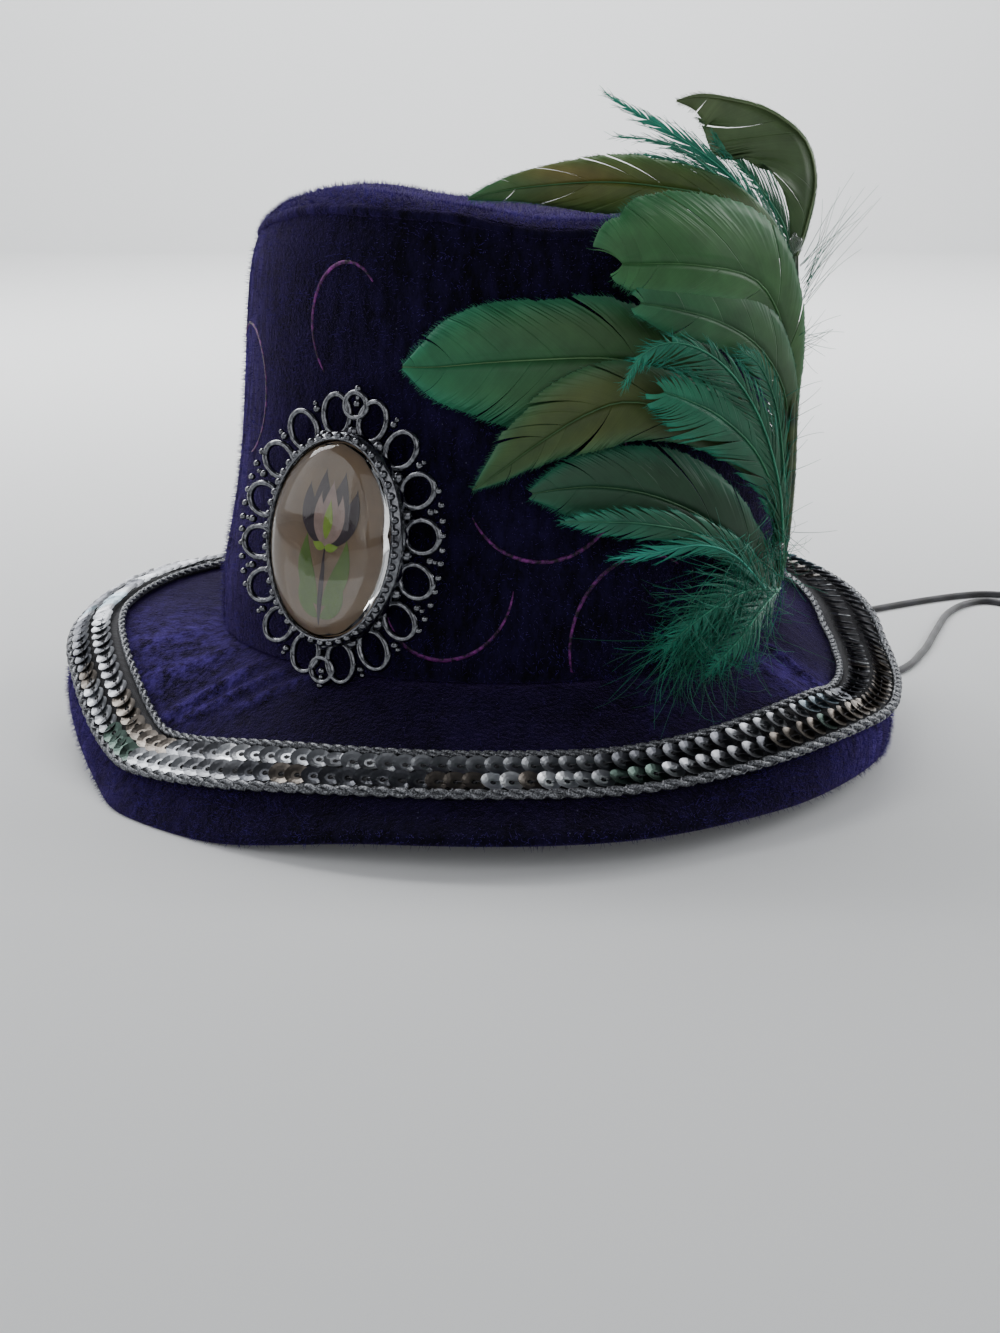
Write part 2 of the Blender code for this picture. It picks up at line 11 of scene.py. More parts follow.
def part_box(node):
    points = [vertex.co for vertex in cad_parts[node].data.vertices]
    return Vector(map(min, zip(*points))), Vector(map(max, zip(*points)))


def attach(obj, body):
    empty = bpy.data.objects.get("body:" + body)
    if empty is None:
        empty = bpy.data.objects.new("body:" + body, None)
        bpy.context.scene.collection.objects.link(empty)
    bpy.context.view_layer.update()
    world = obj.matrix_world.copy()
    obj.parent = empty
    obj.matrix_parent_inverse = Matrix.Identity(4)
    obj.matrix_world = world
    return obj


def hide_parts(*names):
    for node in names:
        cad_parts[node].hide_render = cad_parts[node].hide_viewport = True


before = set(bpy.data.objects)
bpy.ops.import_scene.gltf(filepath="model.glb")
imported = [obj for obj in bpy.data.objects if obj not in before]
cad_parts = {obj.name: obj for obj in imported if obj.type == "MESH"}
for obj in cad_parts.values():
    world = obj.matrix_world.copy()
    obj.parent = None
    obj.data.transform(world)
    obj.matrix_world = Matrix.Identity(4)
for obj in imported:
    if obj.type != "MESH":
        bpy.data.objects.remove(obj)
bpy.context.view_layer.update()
MM = 0.001

# Camera. The photograph looks at the front of the hat from 444 mm away and
# down by 15 degrees, with the crown's axis a little right of the hat's middle.
HAT_AXIS = Vector((0.004809, 0.000482, 0.0))
CAMERA_BACK = 444 * MM
CAMERA_UP = 133.6 * MM
CAMERA_DOWN = 15.0
LENS = 52.0
SENSOR_WIDE = 36.0
bpy.ops.object.select_all(action="DESELECT")
bpy.ops.object.camera_add(
    location=(HAT_AXIS.x, HAT_AXIS.y - CAMERA_BACK, CAMERA_UP),
    rotation=(math.radians(90 - CAMERA_DOWN), 0, 0))
camera = bpy.context.object
camera.data.lens = LENS
camera.data.sensor_width = SENSOR_WIDE
camera.data.clip_start = 0.01
bpy.context.scene.camera = camera

# Floor and backdrop. One pale sheet of painted board that lies under the hat
# and curves up far behind it. Soft boxes stand behind the hat and at both sides, a
# wide one in front, and one lights the wall. The room is dim on the camera's side.
FLOOR_WIDE = 6.0
FLOOR_BACK = 2.2
WALL_HIGH = 3.0
BEND_R = 1.2
ROOM_LIGHT = 0.80


def linear(colour):
    """An sRGB hex colour as linear red, green, blue and alpha."""
    parts = [int(colour[i:i + 2], 16) / 255 for i in (1, 3, 5)]
    return (*[p / 12.92 if p <= 0.04045 else ((p + 0.055) / 1.055) ** 2.4 for p in parts], 1.0)


def bare_material(name):
    """A material with nothing in it yet."""
    made = bpy.data.materials.new(name)
    made.use_nodes = True
    made.node_tree.nodes.clear()
    return made


def add(material, kind, values=None, links=None, stops=None, **settings):
    """Add one node with its settings, its values, its links and a ramp's colours."""
    made = material.node_tree.nodes.new(kind)
    for key, value in settings.items():
        setattr(made, key, value)
    for key, value in (values or {}).items():
        made.inputs[key].default_value = value
    for key, (other, socket) in (links or {}).items():
        material.node_tree.links.new(other.outputs[socket], made.inputs[key])
    for i, (place, colour) in enumerate(stops or []):
        if i >= len(made.color_ramp.elements):
            made.color_ramp.elements.new(place)
        made.color_ramp.elements[i].position = place
        made.color_ramp.elements[i].color = linear(colour)
    return made


def surface(material, values, links=None):
    """The shader that the material ends in."""
    shader = add(material, "ShaderNodeBsdfPrincipled", values, links)
    add(material, "ShaderNodeOutputMaterial", links={"Surface": (shader, "BSDF")})


def only(piece):
    """Select this piece alone and make it active."""
    bpy.ops.object.select_all(action="DESELECT")
    piece.select_set(True)
    bpy.context.view_layer.objects.active = piece


bpy.ops.mesh.primitive_plane_add(size=FLOOR_WIDE, location=(0, FLOOR_BACK - FLOOR_WIDE / 2, 0))
floor = bpy.context.object
floor.name = "floor"
bpy.ops.object.transform_apply(location=True)
bpy.ops.object.mode_set(mode="EDIT")
shape = bmesh.from_edit_mesh(floor.data)
for edge in shape.edges:
    edge.select_set(all(v.co.y > FLOOR_BACK - 0.01 for v in edge.verts))
bpy.ops.mesh.extrude_edges_move(TRANSFORM_OT_translate={"value": (0, 0, WALL_HIGH)})
shape = bmesh.from_edit_mesh(floor.data)
for edge in shape.edges:
    edge.select_set(all(v.co.y > FLOOR_BACK - 0.01 and v.co.z < 0.01 for v in edge.verts))
bpy.ops.mesh.bevel(offset=BEND_R, segments=16)
bpy.ops.object.mode_set(mode="OBJECT")
bpy.ops.object.shade_smooth()
painted_board = bare_material("painted board, pale grey")
surface(painted_board, {"Base Color": linear("#e9ebec"), "Roughness": 0.55})
floor.data.materials.append(painted_board)

LIGHTS = (
    # name, place, what it is aimed at, width in metres, watts
    ("sky", (-0.70, 0.70, 0.95), (0.0, 0.0, 0.05), 0.9, 13.0),
    ("left box", (-1.20, -0.30, 0.70), (0.0, 0.0, 0.07), 1.6, 6.5),
    ("right box", (1.00, 0.35, 0.60), (0.0, 0.0, 0.07), 0.9, 10.0),
    ("front box", (0.50, -1.90, 1.10), (0.0, 0.0, 0.08), 2.8, 17.0),
    ("wall wash", (0.0, 0.9, 1.9), (0.0, 2.4, 0.7), 1.6, 85.0),
)
for name, place, aim, wide, power in LIGHTS:
    turn = (Vector(aim) - Vector(place)).to_track_quat("-Z", "Y").to_euler()
    bpy.ops.object.light_add(type="AREA", location=place, rotation=turn)
    lamp = bpy.context.object
    lamp.name = name
    lamp.data.shape = "RECTANGLE"
    lamp.data.size = wide
    lamp.data.size_y = wide * 0.7
    lamp.data.energy = power
world = bpy.data.worlds.new("soft room light")
world.use_nodes = True
around = add(world, "ShaderNodeTexCoord")
toward = add(world, "ShaderNodeVectorMath", {1: (-0.30, 0.90, -0.15)}, {0: (around, "Generated")},
             operation="DOT_PRODUCT")
room = add(world, "ShaderNodeValToRGB", links={"Fac": (toward, "Value")},
           stops=((0.0, "#4c4e54"), (0.75, "#eef0f4")))
background = world.node_tree.nodes["Background"]
background.inputs["Strength"].default_value = ROOM_LIGHT
world.node_tree.links.new(room.outputs["Color"], background.inputs["Color"])
bpy.context.scene.world = world

# Chin elastic. A 2 mm round cord, rubber cores under a braided rayon sleeve,
# stitched inside the crown at the right and at the left, loose on the table.
SEAM_R = 65.5 * MM       # radius and height of the seam between brim and crown
SEAM_H = 28.1 * MM
CORD_D = 2.0 * MM
ELASTIC_STEPS = 200
ELASTIC = (
    # across and back as shares of the seam's radius, up as a share of its height
    (0.928, 0.080, 1.140), (0.926, 0.095, 0.900), (0.945, 0.120, 0.480), (1.010, 0.190, 0.085),
    (1.200, 0.360, 0.036), (1.590, 0.690, 0.036), (1.765, 1.010, 0.036), (1.895, 1.360, 0.036),
    (2.020, 1.690, 0.036), (2.140, 1.880, 0.036), (2.255, 1.955, 0.036), (2.345, 1.900, 0.036),
    (2.440, 1.880, 0.036), (2.480, 1.970, 0.036), (2.400, 2.070, 0.036), (2.230, 2.090, 0.036),
    (1.950, 1.950, 0.036), (1.560, 1.680, 0.036), (1.120, 1.330, 0.036), (0.680, 0.970, 0.036),
    (0.120, 0.620, 0.036), (-0.420, 0.350, 0.036), (-0.760, 0.200, 0.085), (-0.890, 0.164, 0.440),
    (-0.917, 0.160, 0.880), (-0.917, 0.160, 1.140),
)


def through(points, t):
    """Smooth curve through points, t from 0 to the last index."""
    i = min(len(points) - 2, max(0, int(t)))
    t -= i
    p1 = points[i]
    p2 = points[i + 1]
    p0 = points[i - 1] if i else 2 * p1 - p2
    p3 = points[i + 2] if i + 2 < len(points) else 2 * p2 - p1
    square = (2 * p0 - 5 * p1 + 4 * p2 - p3) * t ** 2
    cube = (3 * p1 - p0 - 3 * p2 + p3) * t ** 3
    return 0.5 * (2 * p1 + (p2 - p0) * t + square + cube)


route = [HAT_AXIS + Vector((x * SEAM_R, y * SEAM_R, z * SEAM_H)) for x, y, z in ELASTIC]
curve = bpy.data.curves.new("chin_cord", "CURVE")
curve.dimensions = "3D"
curve.bevel_depth = CORD_D / 2
curve.bevel_resolution = 4
curve.use_fill_caps = True
spline = curve.splines.new("POLY")
spline.points.add(ELASTIC_STEPS - 1)
for i, point in enumerate(spline.points):
    at = through(route, i / (ELASTIC_STEPS - 1) * (len(route) - 1))
    point.co = (at.x, at.y, max(at.z, CORD_D / 2), 1.0)
chin_cord = bpy.data.objects.new("chin_cord", curve)
bpy.context.collection.objects.link(chin_cord)

# Braided sleeve: dull, nearly black, with the fine slanting lay of its threads.
rayon_braid = bare_material("braided rayon over rubber, black")
place = add(rayon_braid, "ShaderNodeTexCoord")
lay = add(rayon_braid, "ShaderNodeTexWave",
          {"Scale": 1 / (1.1 * MM) / 20, "Distortion": 2.0, "Detail": 2.0},
          {"Vector": (place, "Object")}, bands_direction="DIAGONAL")
dark = add(rayon_braid, "ShaderNodeValToRGB", links={"Fac": (lay, 0)},
           stops=((0.2, "#141417"), (0.9, "#2c2c31")))
thread = add(rayon_braid, "ShaderNodeBump", {"Strength": 0.5, "Distance": 0.12 * MM},
             {"Height": (lay, 0)})
surface(rayon_braid, {"Roughness": 0.55, "Sheen Weight": 0.2},
        {"Base Color": (dark, "Color"), "Normal": (thread, "Normal")})
curve.materials.append(rayon_braid)
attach(chin_cord, "root")
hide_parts("chin_elastic")

# Brim. Two layers of rayon velvet over stiff buckram, wired at the edge and
# pulled into creases where it turns at the two front corners.
BRIM_CREASES = (
    # start and end as direction and radius in mm, then height and half width in mm
    ((-140.0, 68.0), (-146.5, 86.0), 1.5, 1.9),
    ((-133.0, 67.5), (-143.0, 84.0), 1.1, 1.5),
    ((-126.0, 67.0), (-136.5, 80.0), 0.8, 1.6),
    ((-152.0, 69.0), (-156.0, 85.0), 0.7, 2.4),
    ((-27.0, 67.0), (-30.0, 81.0), 1.5, 1.7),
    ((-36.0, 67.0), (-38.0, 80.0), 0.7, 2.4),
    ((-62.0, 67.0), (-66.0, 77.0), 0.35, 2.6),
    ((-168.0, 67.0), (-166.0, 84.0), 0.6, 2.6),
)
BRIM_RIPPLE = 0.35 * MM
BRIM_RIPPLE_REACH = 5.0 * MM
BRIM_RIPPLE_PEAK = 2.5 * MM  # beyond the seam
PAINTED_HIGHLIGHT_LEFT = (-165.0, 22.0)    # middle and half width in degrees of each patch of painted highlight
PAINTED_HIGHLIGHT_CORNER = (-33.0, 9.0)
PAINTED_HIGHLIGHT_RIM = (-18.0, 14.0)
PAINTED_HIGHLIGHT_RIM_FROM = 24 * MM       # beyond the seam


def merged_copy(node, name, levels, kept_edge=0.0, within=1.0):
    """A merged copy of a CAD node, rounded off by subdivision, with even normals.
    Sharp edges within a distance of the hat's axis keep their corner."""
    piece = bpy.data.objects.new(name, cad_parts[node].data.copy())
    bpy.context.collection.objects.link(piece)
    piece.data.materials.clear()
    only(piece)
    bpy.ops.mesh.customdata_custom_splitnormals_clear()
    bpy.ops.object.mode_set(mode="EDIT")
    bpy.ops.mesh.select_all(action="SELECT")
    bpy.ops.mesh.remove_doubles(threshold=0.01 * MM)
    bpy.ops.mesh.tris_convert_to_quads(face_threshold=math.radians(60),
                                       shape_threshold=math.radians(80))
    bpy.ops.mesh.normals_make_consistent(inside=False)
    shape = bmesh.from_edit_mesh(piece.data)
    crease = shape.edges.layers.float.new("crease_edge")
    for edge in shape.edges:
        middle = (edge.verts[0].co + edge.verts[1].co) / 2 - HAT_AXIS
        if math.hypot(middle.x, middle.y) < within and edge.calc_face_angle(0.0) > math.radians(50):
            edge[crease] = kept_edge
    bpy.ops.object.mode_set(mode="OBJECT")
    rounding = piece.modifiers.new("rounding", "SUBSURF")
    rounding.levels = levels
    rounding.render_levels = levels
    bpy.ops.object.modifier_apply(modifier=rounding.name)
    bpy.ops.object.shade_smooth()
    return piece


def polar(az, radius, height):
    """A point of the hat by direction in degrees, radius and height."""
    a = math.radians(az)
    return HAT_AXIS + Vector((radius * math.cos(a), radius * math.sin(a), height))


def hump(value, middle, half):
    """A soft rise to 1 at the middle, nearly gone at twice its half width."""
    return math.exp(-((value - middle) / half) ** 2)


def hump_round(az, middle, half):
    """The same round the hat, where -180 and 180 degrees are one direction."""
    return hump(az, middle, half) + hump(az, middle + 360, half)


brim = merged_copy("brim", "brim_velvet", 3, kept_edge=0.9, within=66 * MM)
brim_streaks_and_highlight = []
for vertex in brim.data.vertices:
    flat = Vector((vertex.co.x - HAT_AXIS.x, vertex.co.y - HAT_AXIS.y))
    rise = 0.0
    for (az_a, r_a), (az_b, r_b), high, half in BRIM_CREASES:
        a = (polar(az_a, r_a * MM, 0) - HAT_AXIS).to_2d()
        b = (polar(az_b, r_b * MM, 0) - HAT_AXIS).to_2d()
        share = max(0.0, min(1.0, (flat - a).dot(b - a) / (b - a).length_squared))
        off = (flat - a - (b - a) * share).length / (half * MM)
        rise += high * MM * math.exp(-off ** 2) * (0.55 + 0.45 * math.sin(math.pi * share))
    beyond = flat.length - SEAM_R
    near_seam = hump(beyond, BRIM_RIPPLE_PEAK, BRIM_RIPPLE_REACH)
    az = math.degrees(math.atan2(flat.y, flat.x))
    ripple = math.sin(math.radians(az * 37)) + math.sin(math.radians(az * 23 + 50))
    vertex.co.z += (rise * min(1.0, max(0.0, beyond / (2 * MM)))
                    + BRIM_RIPPLE * ripple * near_seam * 0.5 * (beyond > 0))
    # Painted highlight where the pile is lit: at the left, at the right front corner, on the right
    # rim and along the crease ridges, with a little everywhere for streaks.
    at_corner = hump(az, *PAINTED_HIGHLIGHT_CORNER) * min(1.0, max(0.0, beyond / (8 * MM)))
    at_rim = hump(az, *PAINTED_HIGHLIGHT_RIM) * (beyond > PAINTED_HIGHLIGHT_RIM_FROM)
    painted_highlight_here = 0.75 * hump_round(az, *PAINTED_HIGHLIGHT_LEFT) + 0.85 * at_corner + 0.6 * at_rim
    brim_streaks_and_highlight.append(min(1.0, painted_highlight_here + 0.8 * rise / MM + 0.08))

# Pile velvet: dyed rayon pile 0.8 mm high on a woven ground. It drinks the
# light seen square on, and glows violet where the pile is seen from the side
# or is crushed. The grain is drawn at 0.9 mm so that it shows. Where a point's
# mask is high, a light violet is mixed into the dye in streaks: painted highlight
# where the pile is lit, and faint streaks of lighter pile everywhere.
pile_velvet = bare_material("rayon pile velvet, deep indigo")
place = add(pile_velvet, "ShaderNodeTexCoord")
grain = add(pile_velvet, "ShaderNodeTexNoise",
            {"Scale": 1 / (0.9 * MM), "Detail": 4.0, "Roughness": 0.7},
            {"Vector": (place, "Object")})
crush = add(pile_velvet, "ShaderNodeTexNoise",
            {"Scale": 1 / (22 * MM), "Detail": 4.0, "Roughness": 0.5, "Distortion": 0.6},
            {"Vector": (place, "Object")})
both = add(pile_velvet, "ShaderNodeMath", {1: 0.45}, {0: (grain, 0)}, operation="MULTIPLY")
mottled = add(pile_velvet, "ShaderNodeMath", {}, {0: (both, 0), 1: (crush, 0)}, operation="ADD")
dye = add(pile_velvet, "ShaderNodeValToRGB", links={"Fac": (mottled, 0)},
          stops=((0.45, "#09090f"), (0.70, "#0c0b15"), (0.98, "#17122c")))
streaks_and_highlight = add(pile_velvet, "ShaderNodeAttribute", attribute_name="streaks_and_highlight")
streaks = add(pile_velvet, "ShaderNodeMapping", {"Scale": (1.0, 1.0, 0.35)},
              {"Vector": (place, "Object")})
strokes = add(pile_velvet, "ShaderNodeTexNoise",
              {"Scale": 1 / (2.6 * MM), "Detail": 6.0, "Roughness": 0.75},
              {"Vector": (streaks, "Vector")})
stroked = add(pile_velvet, "ShaderNodeMapRange", {"From Min": 0.40, "From Max": 0.64},
              {"Value": (strokes, 0)})
lit_pile = add(pile_velvet, "ShaderNodeMath", {}, {0: (streaks_and_highlight, "Fac"), 1: (stroked, "Result")},
               operation="MULTIPLY")
# Painted highlight: the light violet of lit pile, mixed into the dye in streaks by the mask.
streaks_and_highlight_mix = add(pile_velvet, "ShaderNodeMix", {7: linear("#473684")},
              {0: (lit_pile, 0), 6: (dye, "Color")},
              data_type="RGBA")
lint_cells = add(pile_velvet, "ShaderNodeTexVoronoi", {"Scale": 1 / (3.4 * MM)},
                 {"Vector": (place, "Object")})
lint_spot = add(pile_velvet, "ShaderNodeMath", {1: 0.045}, {0: (lint_cells, "Distance")},
                operation="LESS_THAN")
lint_share = add(pile_velvet, "ShaderNodeMath", {1: 0.28}, {0: (lint_spot, 0)},
                 operation="MULTIPLY")
linty = add(pile_velvet, "ShaderNodeMix", {7: linear("#8b8ab4")},
            {0: (lint_share, 0), 6: (streaks_and_highlight_mix, 2)},
            data_type="RGBA")
pile_height = add(pile_velvet, "ShaderNodeMath", {1: 1.6}, {0: (crush, 0)}, operation="MULTIPLY")
pile_sum = add(pile_velvet, "ShaderNodeMath", {}, {0: (grain, 0), 1: (pile_height, 0)},
               operation="ADD")
pile_bump = add(pile_velvet, "ShaderNodeBump", {"Strength": 1.0, "Distance": 0.9 * MM},
                {"Height": (pile_sum, 0)})
surface(pile_velvet,
        {"Roughness": 0.95, "Specular IOR Level": 0.08, "Sheen Weight": 0.50,
         "Sheen Roughness": 0.22, "Sheen Tint": linear("#7e63b8")},
        {"Base Color": (linty, 2), "Normal": (pile_bump, "Normal")})


def keep_streaks_and_highlight(piece, values):
    """Keep at each point how much light violet goes into the dye, painted highlight where the pile
    is lit and faint streaks elsewhere, in the piece's own attribute.
    """
    layer = piece.data.attributes.new("streaks_and_highlight", "FLOAT", "POINT")
    layer.data.foreach_set("value", np.array(values, np.float32))


keep_streaks_and_highlight(brim, brim_streaks_and_highlight)
brim.data.materials.append(pile_velvet)
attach(brim, "root")
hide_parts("brim")

# Crown side. Velvet pulled over a buckram cone, sewn up at the left with one
# seam from foot to top; the inside shows its plain black woven lining.
SEAM_AZ = -166.0
SEAM_DEEP = 0.55 * MM
SEAM_HALF = 1.3          # degrees
SEAM_LIPS = 2.2          # how far the raised lips lie from the seam, in half widths
CROWN_WAVES = 0.45 * MM
# Painted highlight on the left of the wall, where it is lit, stronger towards the top; faint
# streaks of lighter pile everywhere.
PAINTED_HIGHLIGHT_SIDE = (-172.0, 17.0)
STREAKS_EVERYWHERE = 0.12

crown = merged_copy("crown_side", "crown_velvet", 3, kept_edge=0.9)
crown_streaks_and_highlight = []
crown_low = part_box("crown_side")[0].z
crown_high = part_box("crown_side")[1].z
for vertex in crown.data.vertices:
    flat = Vector((vertex.co.x - HAT_AXIS.x, vertex.co.y - HAT_AXIS.y, 0.0))
    az = math.degrees(math.atan2(flat.y, flat.x))
    up = (vertex.co.z - crown_low) / (crown_high - crown_low)
    off = (az - SEAM_AZ) / SEAM_HALF
    seam = -SEAM_DEEP * hump(off, 0.0, 1.0) + 0.5 * SEAM_DEEP * hump(abs(off), SEAM_LIPS, 1.0)
    wave = (math.sin(math.radians(az * 5 + up * 160))
            + math.sin(math.radians(az * 9 - up * 210 + 40)))
    free = math.sin(math.pi * max(0.0, min(1.0, up)))
    vertex.co += flat.normalized() * (seam + CROWN_WAVES * 0.5 * wave * free)
    crown_streaks_and_highlight.append(min(1.0, hump_round(az, *PAINTED_HIGHLIGHT_SIDE) * (0.65 + 0.35 * up) + STREAKS_EVERYWHERE))
keep_streaks_and_highlight(crown, crown_streaks_and_highlight)

# Buckram lining: black cotton, plain woven, two threads to the millimetre.
lining_cotton = bare_material("plain woven cotton lining, black")
place = add(lining_cotton, "ShaderNodeTexCoord")
warp = add(lining_cotton, "ShaderNodeTexWave", {"Scale": 1 / (0.9 * MM) / 20, "Distortion": 0.6},
           {"Vector": (place, "Object")}, bands_direction="Z")
weft = add(lining_cotton, "ShaderNodeTexWave", {"Scale": 1 / (0.9 * MM) / 20, "Distortion": 0.6},
           {"Vector": (place, "Object")}, bands_direction="X")
weave = add(lining_cotton, "ShaderNodeMath", {}, {0: (warp, 0), 1: (weft, 0)}, operation="ADD")
thread_tone = add(lining_cotton, "ShaderNodeValToRGB", links={"Fac": (weave, 0)},
                  stops=((0.1, "#0c0c0e"), (1.0, "#26262b")))
weave_bump = add(lining_cotton, "ShaderNodeBump", {"Strength": 0.5, "Distance": 0.2 * MM},
                 {"Height": (weave, 0)})
surface(lining_cotton, {"Roughness": 0.9, "Sheen Weight": 0.2},
        {"Base Color": (thread_tone, "Color"), "Normal": (weave_bump, "Normal")})
crown.data.materials.append(pile_velvet)
crown.data.materials.append(lining_cotton)
for face in crown.data.polygons:
    outward = face.center - HAT_AXIS
    outward.z = 0.0
    face.material_index = 1 if face.normal.dot(outward.normalized()) < -0.3 else 0
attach(crown, "root")
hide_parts("crown_side")

# Crown tip. A padded velvet disc, higher at the left, turned in and sewn round
# the top of the wall with a soft rolled edge.
TIP_WAVES = 0.5 * MM
PAINTED_HIGHLIGHT_TIP = 0.45           # how much painted highlight the top takes at its left, where it is lit
tip = merged_copy("crown_tip", "tip_velvet", 3, kept_edge=0.9)
tip_streaks_and_highlight = []
for vertex in tip.data.vertices:
    flat = Vector((vertex.co.x - HAT_AXIS.x, vertex.co.y - HAT_AXIS.y))
    az = math.degrees(math.atan2(flat.y, flat.x))
    share = min(1.0, flat.length / (0.86 * SEAM_R))
    stitched = math.sin(math.radians(az * 31)) * share ** 8 * 0.6
    pucker = stitched + math.sin(math.radians(az * 4 + 70)) * share ** 2
    vertex.co.z += TIP_WAVES * 0.5 * pucker * math.sin(math.pi * min(1.0, share * 0.98))
    tip_streaks_and_highlight.append(STREAKS_EVERYWHERE + PAINTED_HIGHLIGHT_TIP * max(0.0, -math.cos(math.radians(az))) * share)
keep_streaks_and_highlight(tip, tip_streaks_and_highlight)
tip.data.materials.append(pile_velvet)
tip.data.materials.append(lining_cotton)
for face in tip.data.polygons:
    face.material_index = 1 if face.normal.z < -0.2 else 0
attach(tip, "root")
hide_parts("crown_tip")

# Seam roll. The velvet of the tip and of the wall is turned over a thin cord
# where the two are sewn together, which rounds the top edge.
WALL_STATIONS = 40       # directions at which the CAD wall has its corners
ROLL_R = 1.25 * MM
ROLL_IN = 0.75 * MM
ROLL_UP = 0.2 * MM
ROLL_STEPS = 6
ROLL_SIDES = 12


def station(flat, count):
    """Which of the CAD mesh's even directions round the axis a corner lies in."""
    return round((math.degrees(math.atan2(flat.y, flat.x)) + 180) * count / 360) % count


top_edge = [(0.0, 0.0)] * WALL_STATIONS
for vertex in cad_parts["crown_side"].data.vertices:
    flat = vertex.co - HAT_AXIS
    k = station(flat, WALL_STATIONS)
    top_edge[k] = max(top_edge[k], (round(flat.z, 5), round(math.hypot(flat.x, flat.y), 5)))
points = []
for i in range(WALL_STATIONS * ROLL_STEPS):
    k = i // ROLL_STEPS
    four = [Vector(top_edge[(k + step) % WALL_STATIONS]) for step in (-1, 0, 1, 2)]
    height, radius = through(four, 1 + (i % ROLL_STEPS) / ROLL_STEPS)
    az = -180 + 360 * i / (WALL_STATIONS * ROLL_STEPS)
    ripple = 0.07 * math.sin(math.radians(az * 29)) + 0.05 * math.sin(math.radians(az * 17))
    thick = ROLL_R * (1 + ripple)
    for m in range(ROLL_SIDES):
        a = 2 * math.pi * m / ROLL_SIDES
        out = radius - ROLL_IN + thick * math.cos(a)
        points.append(polar(az, out, height + ROLL_UP + thick * math.sin(a)))


def mesh_piece(name, points, faces, material, smooth=True):
    """An object from points and faces, with one material."""
    mesh = bpy.data.meshes.new(name)
    mesh.from_pydata(points, [], faces)
    mesh.materials.append(material)
    if smooth:
        mesh.shade_smooth()
    piece = bpy.data.objects.new(name, mesh)
    bpy.context.collection.objects.link(piece)
    return piece


def ring_faces(start, rings, sides, closed=True, turned=False):
    """Faces between each ring of points and the next, from the last back to the
    first where they are closed, and with their other side out where turned."""
    faces = []
    for i in range(rings if closed else rings - 1):
        a = start + i * sides
        b = start + (i + 1) % rings * sides
        for k in range(sides):
            n = (k + 1) % sides
            faces.append((a + k, b + k, b + n, a + n) if turned else (a + k, a + n, b + n, b + k))
    return faces


faces = ring_faces(0, WALL_STATIONS * ROLL_STEPS, ROLL_SIDES, turned=True)
roll = mesh_piece("seam_roll", points, faces, pile_velvet)
# Painted highlight on the roll, stronger towards its left where it is lit, over faint streaks
# everywhere.
keep_streaks_and_highlight(roll, [STREAKS_EVERYWHERE + PAINTED_HIGHLIGHT_TIP * max(0.0, (HAT_AXIS.x - at.x) / SEAM_R)
                   for at in points])
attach(roll, "root")

# Pile fuzz. The ends of the pile that stand out along the rim, the top seam and
# the sides, where they are seen against the light. Each is a thin three-sided
# spike, drawn three times as thick as real pile and longer, so that it shows.
FIBRE_LONG = 1.4 * MM
FIBRE_THICK = 0.06 * MM
FIBRE_LEAN = 0.42        # how far the fibres stand away from square to the cloth
FIBRE_SAG = -0.15
RIM_FIBRES = 34000
TOP_FIBRES = 14000
WALL_FIBRES = 30000


def fibres(name, piece, count, wanted, seed, material):
    """Spikes of pile spread over the faces that are wanted."""
    chance = np.random.default_rng(seed)
    mesh = piece.data
    mesh.calc_loop_triangles()
    corners = np.array([t.vertices for t in mesh.loop_triangles])
    places = np.array([v.co for v in mesh.vertices])
    a, b, c = places[corners[:, 0]], places[corners[:, 1]], places[corners[:, 2]]
    square = np.cross(b - a, c - a)
    area = np.linalg.norm(square, axis=1)
    normal = square / np.maximum(area, 1e-12)[:, None]
    weight = area * wanted((a + b + c) / 3, normal)
    pick = chance.choice(len(weight), count, p=weight / weight.sum())
    share = chance.random((count, 2))
    share[share.sum(1) > 1] = 1 - share[share.sum(1) > 1]
    foot = a[pick] + (b - a)[pick] * share[:, :1] + (c - a)[pick] * share[:, 1:]
    lean = chance.normal(0, FIBRE_LEAN, (count, 3)) + np.array([0, 0, FIBRE_SAG])
    way = normal[pick] + lean
    way /= np.linalg.norm(way, axis=1)[:, None]
    side = np.cross(way, normal[pick] + 0.01)
    side /= np.maximum(np.linalg.norm(side, axis=1), 1e-9)[:, None]
    other = np.cross(way, side)
    long = FIBRE_LONG * chance.uniform(0.55, 1.15, (count, 1))
    base = foot - normal[pick] * 0.1 * MM
    ring = [base + FIBRE_THICK * (side * math.cos(t) + other * math.sin(t))
            for t in (0.0, 2 * math.pi / 3, 4 * math.pi / 3)]
    points = np.stack(ring + [foot + way * long], axis=1).reshape(-1, 3)
    points[:, 2] = np.maximum(points[:, 2], 0.05 * MM)
    start = 4 * np.arange(count)[:, None, None]
    faces = (start + np.array([[0, 1, 3], [1, 2, 3], [2, 0, 3], [2, 1, 0]])).reshape(-1, 3)
    fuzz = mesh_piece(name, points.tolist(), faces.tolist(), material)
    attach(fuzz, "root")


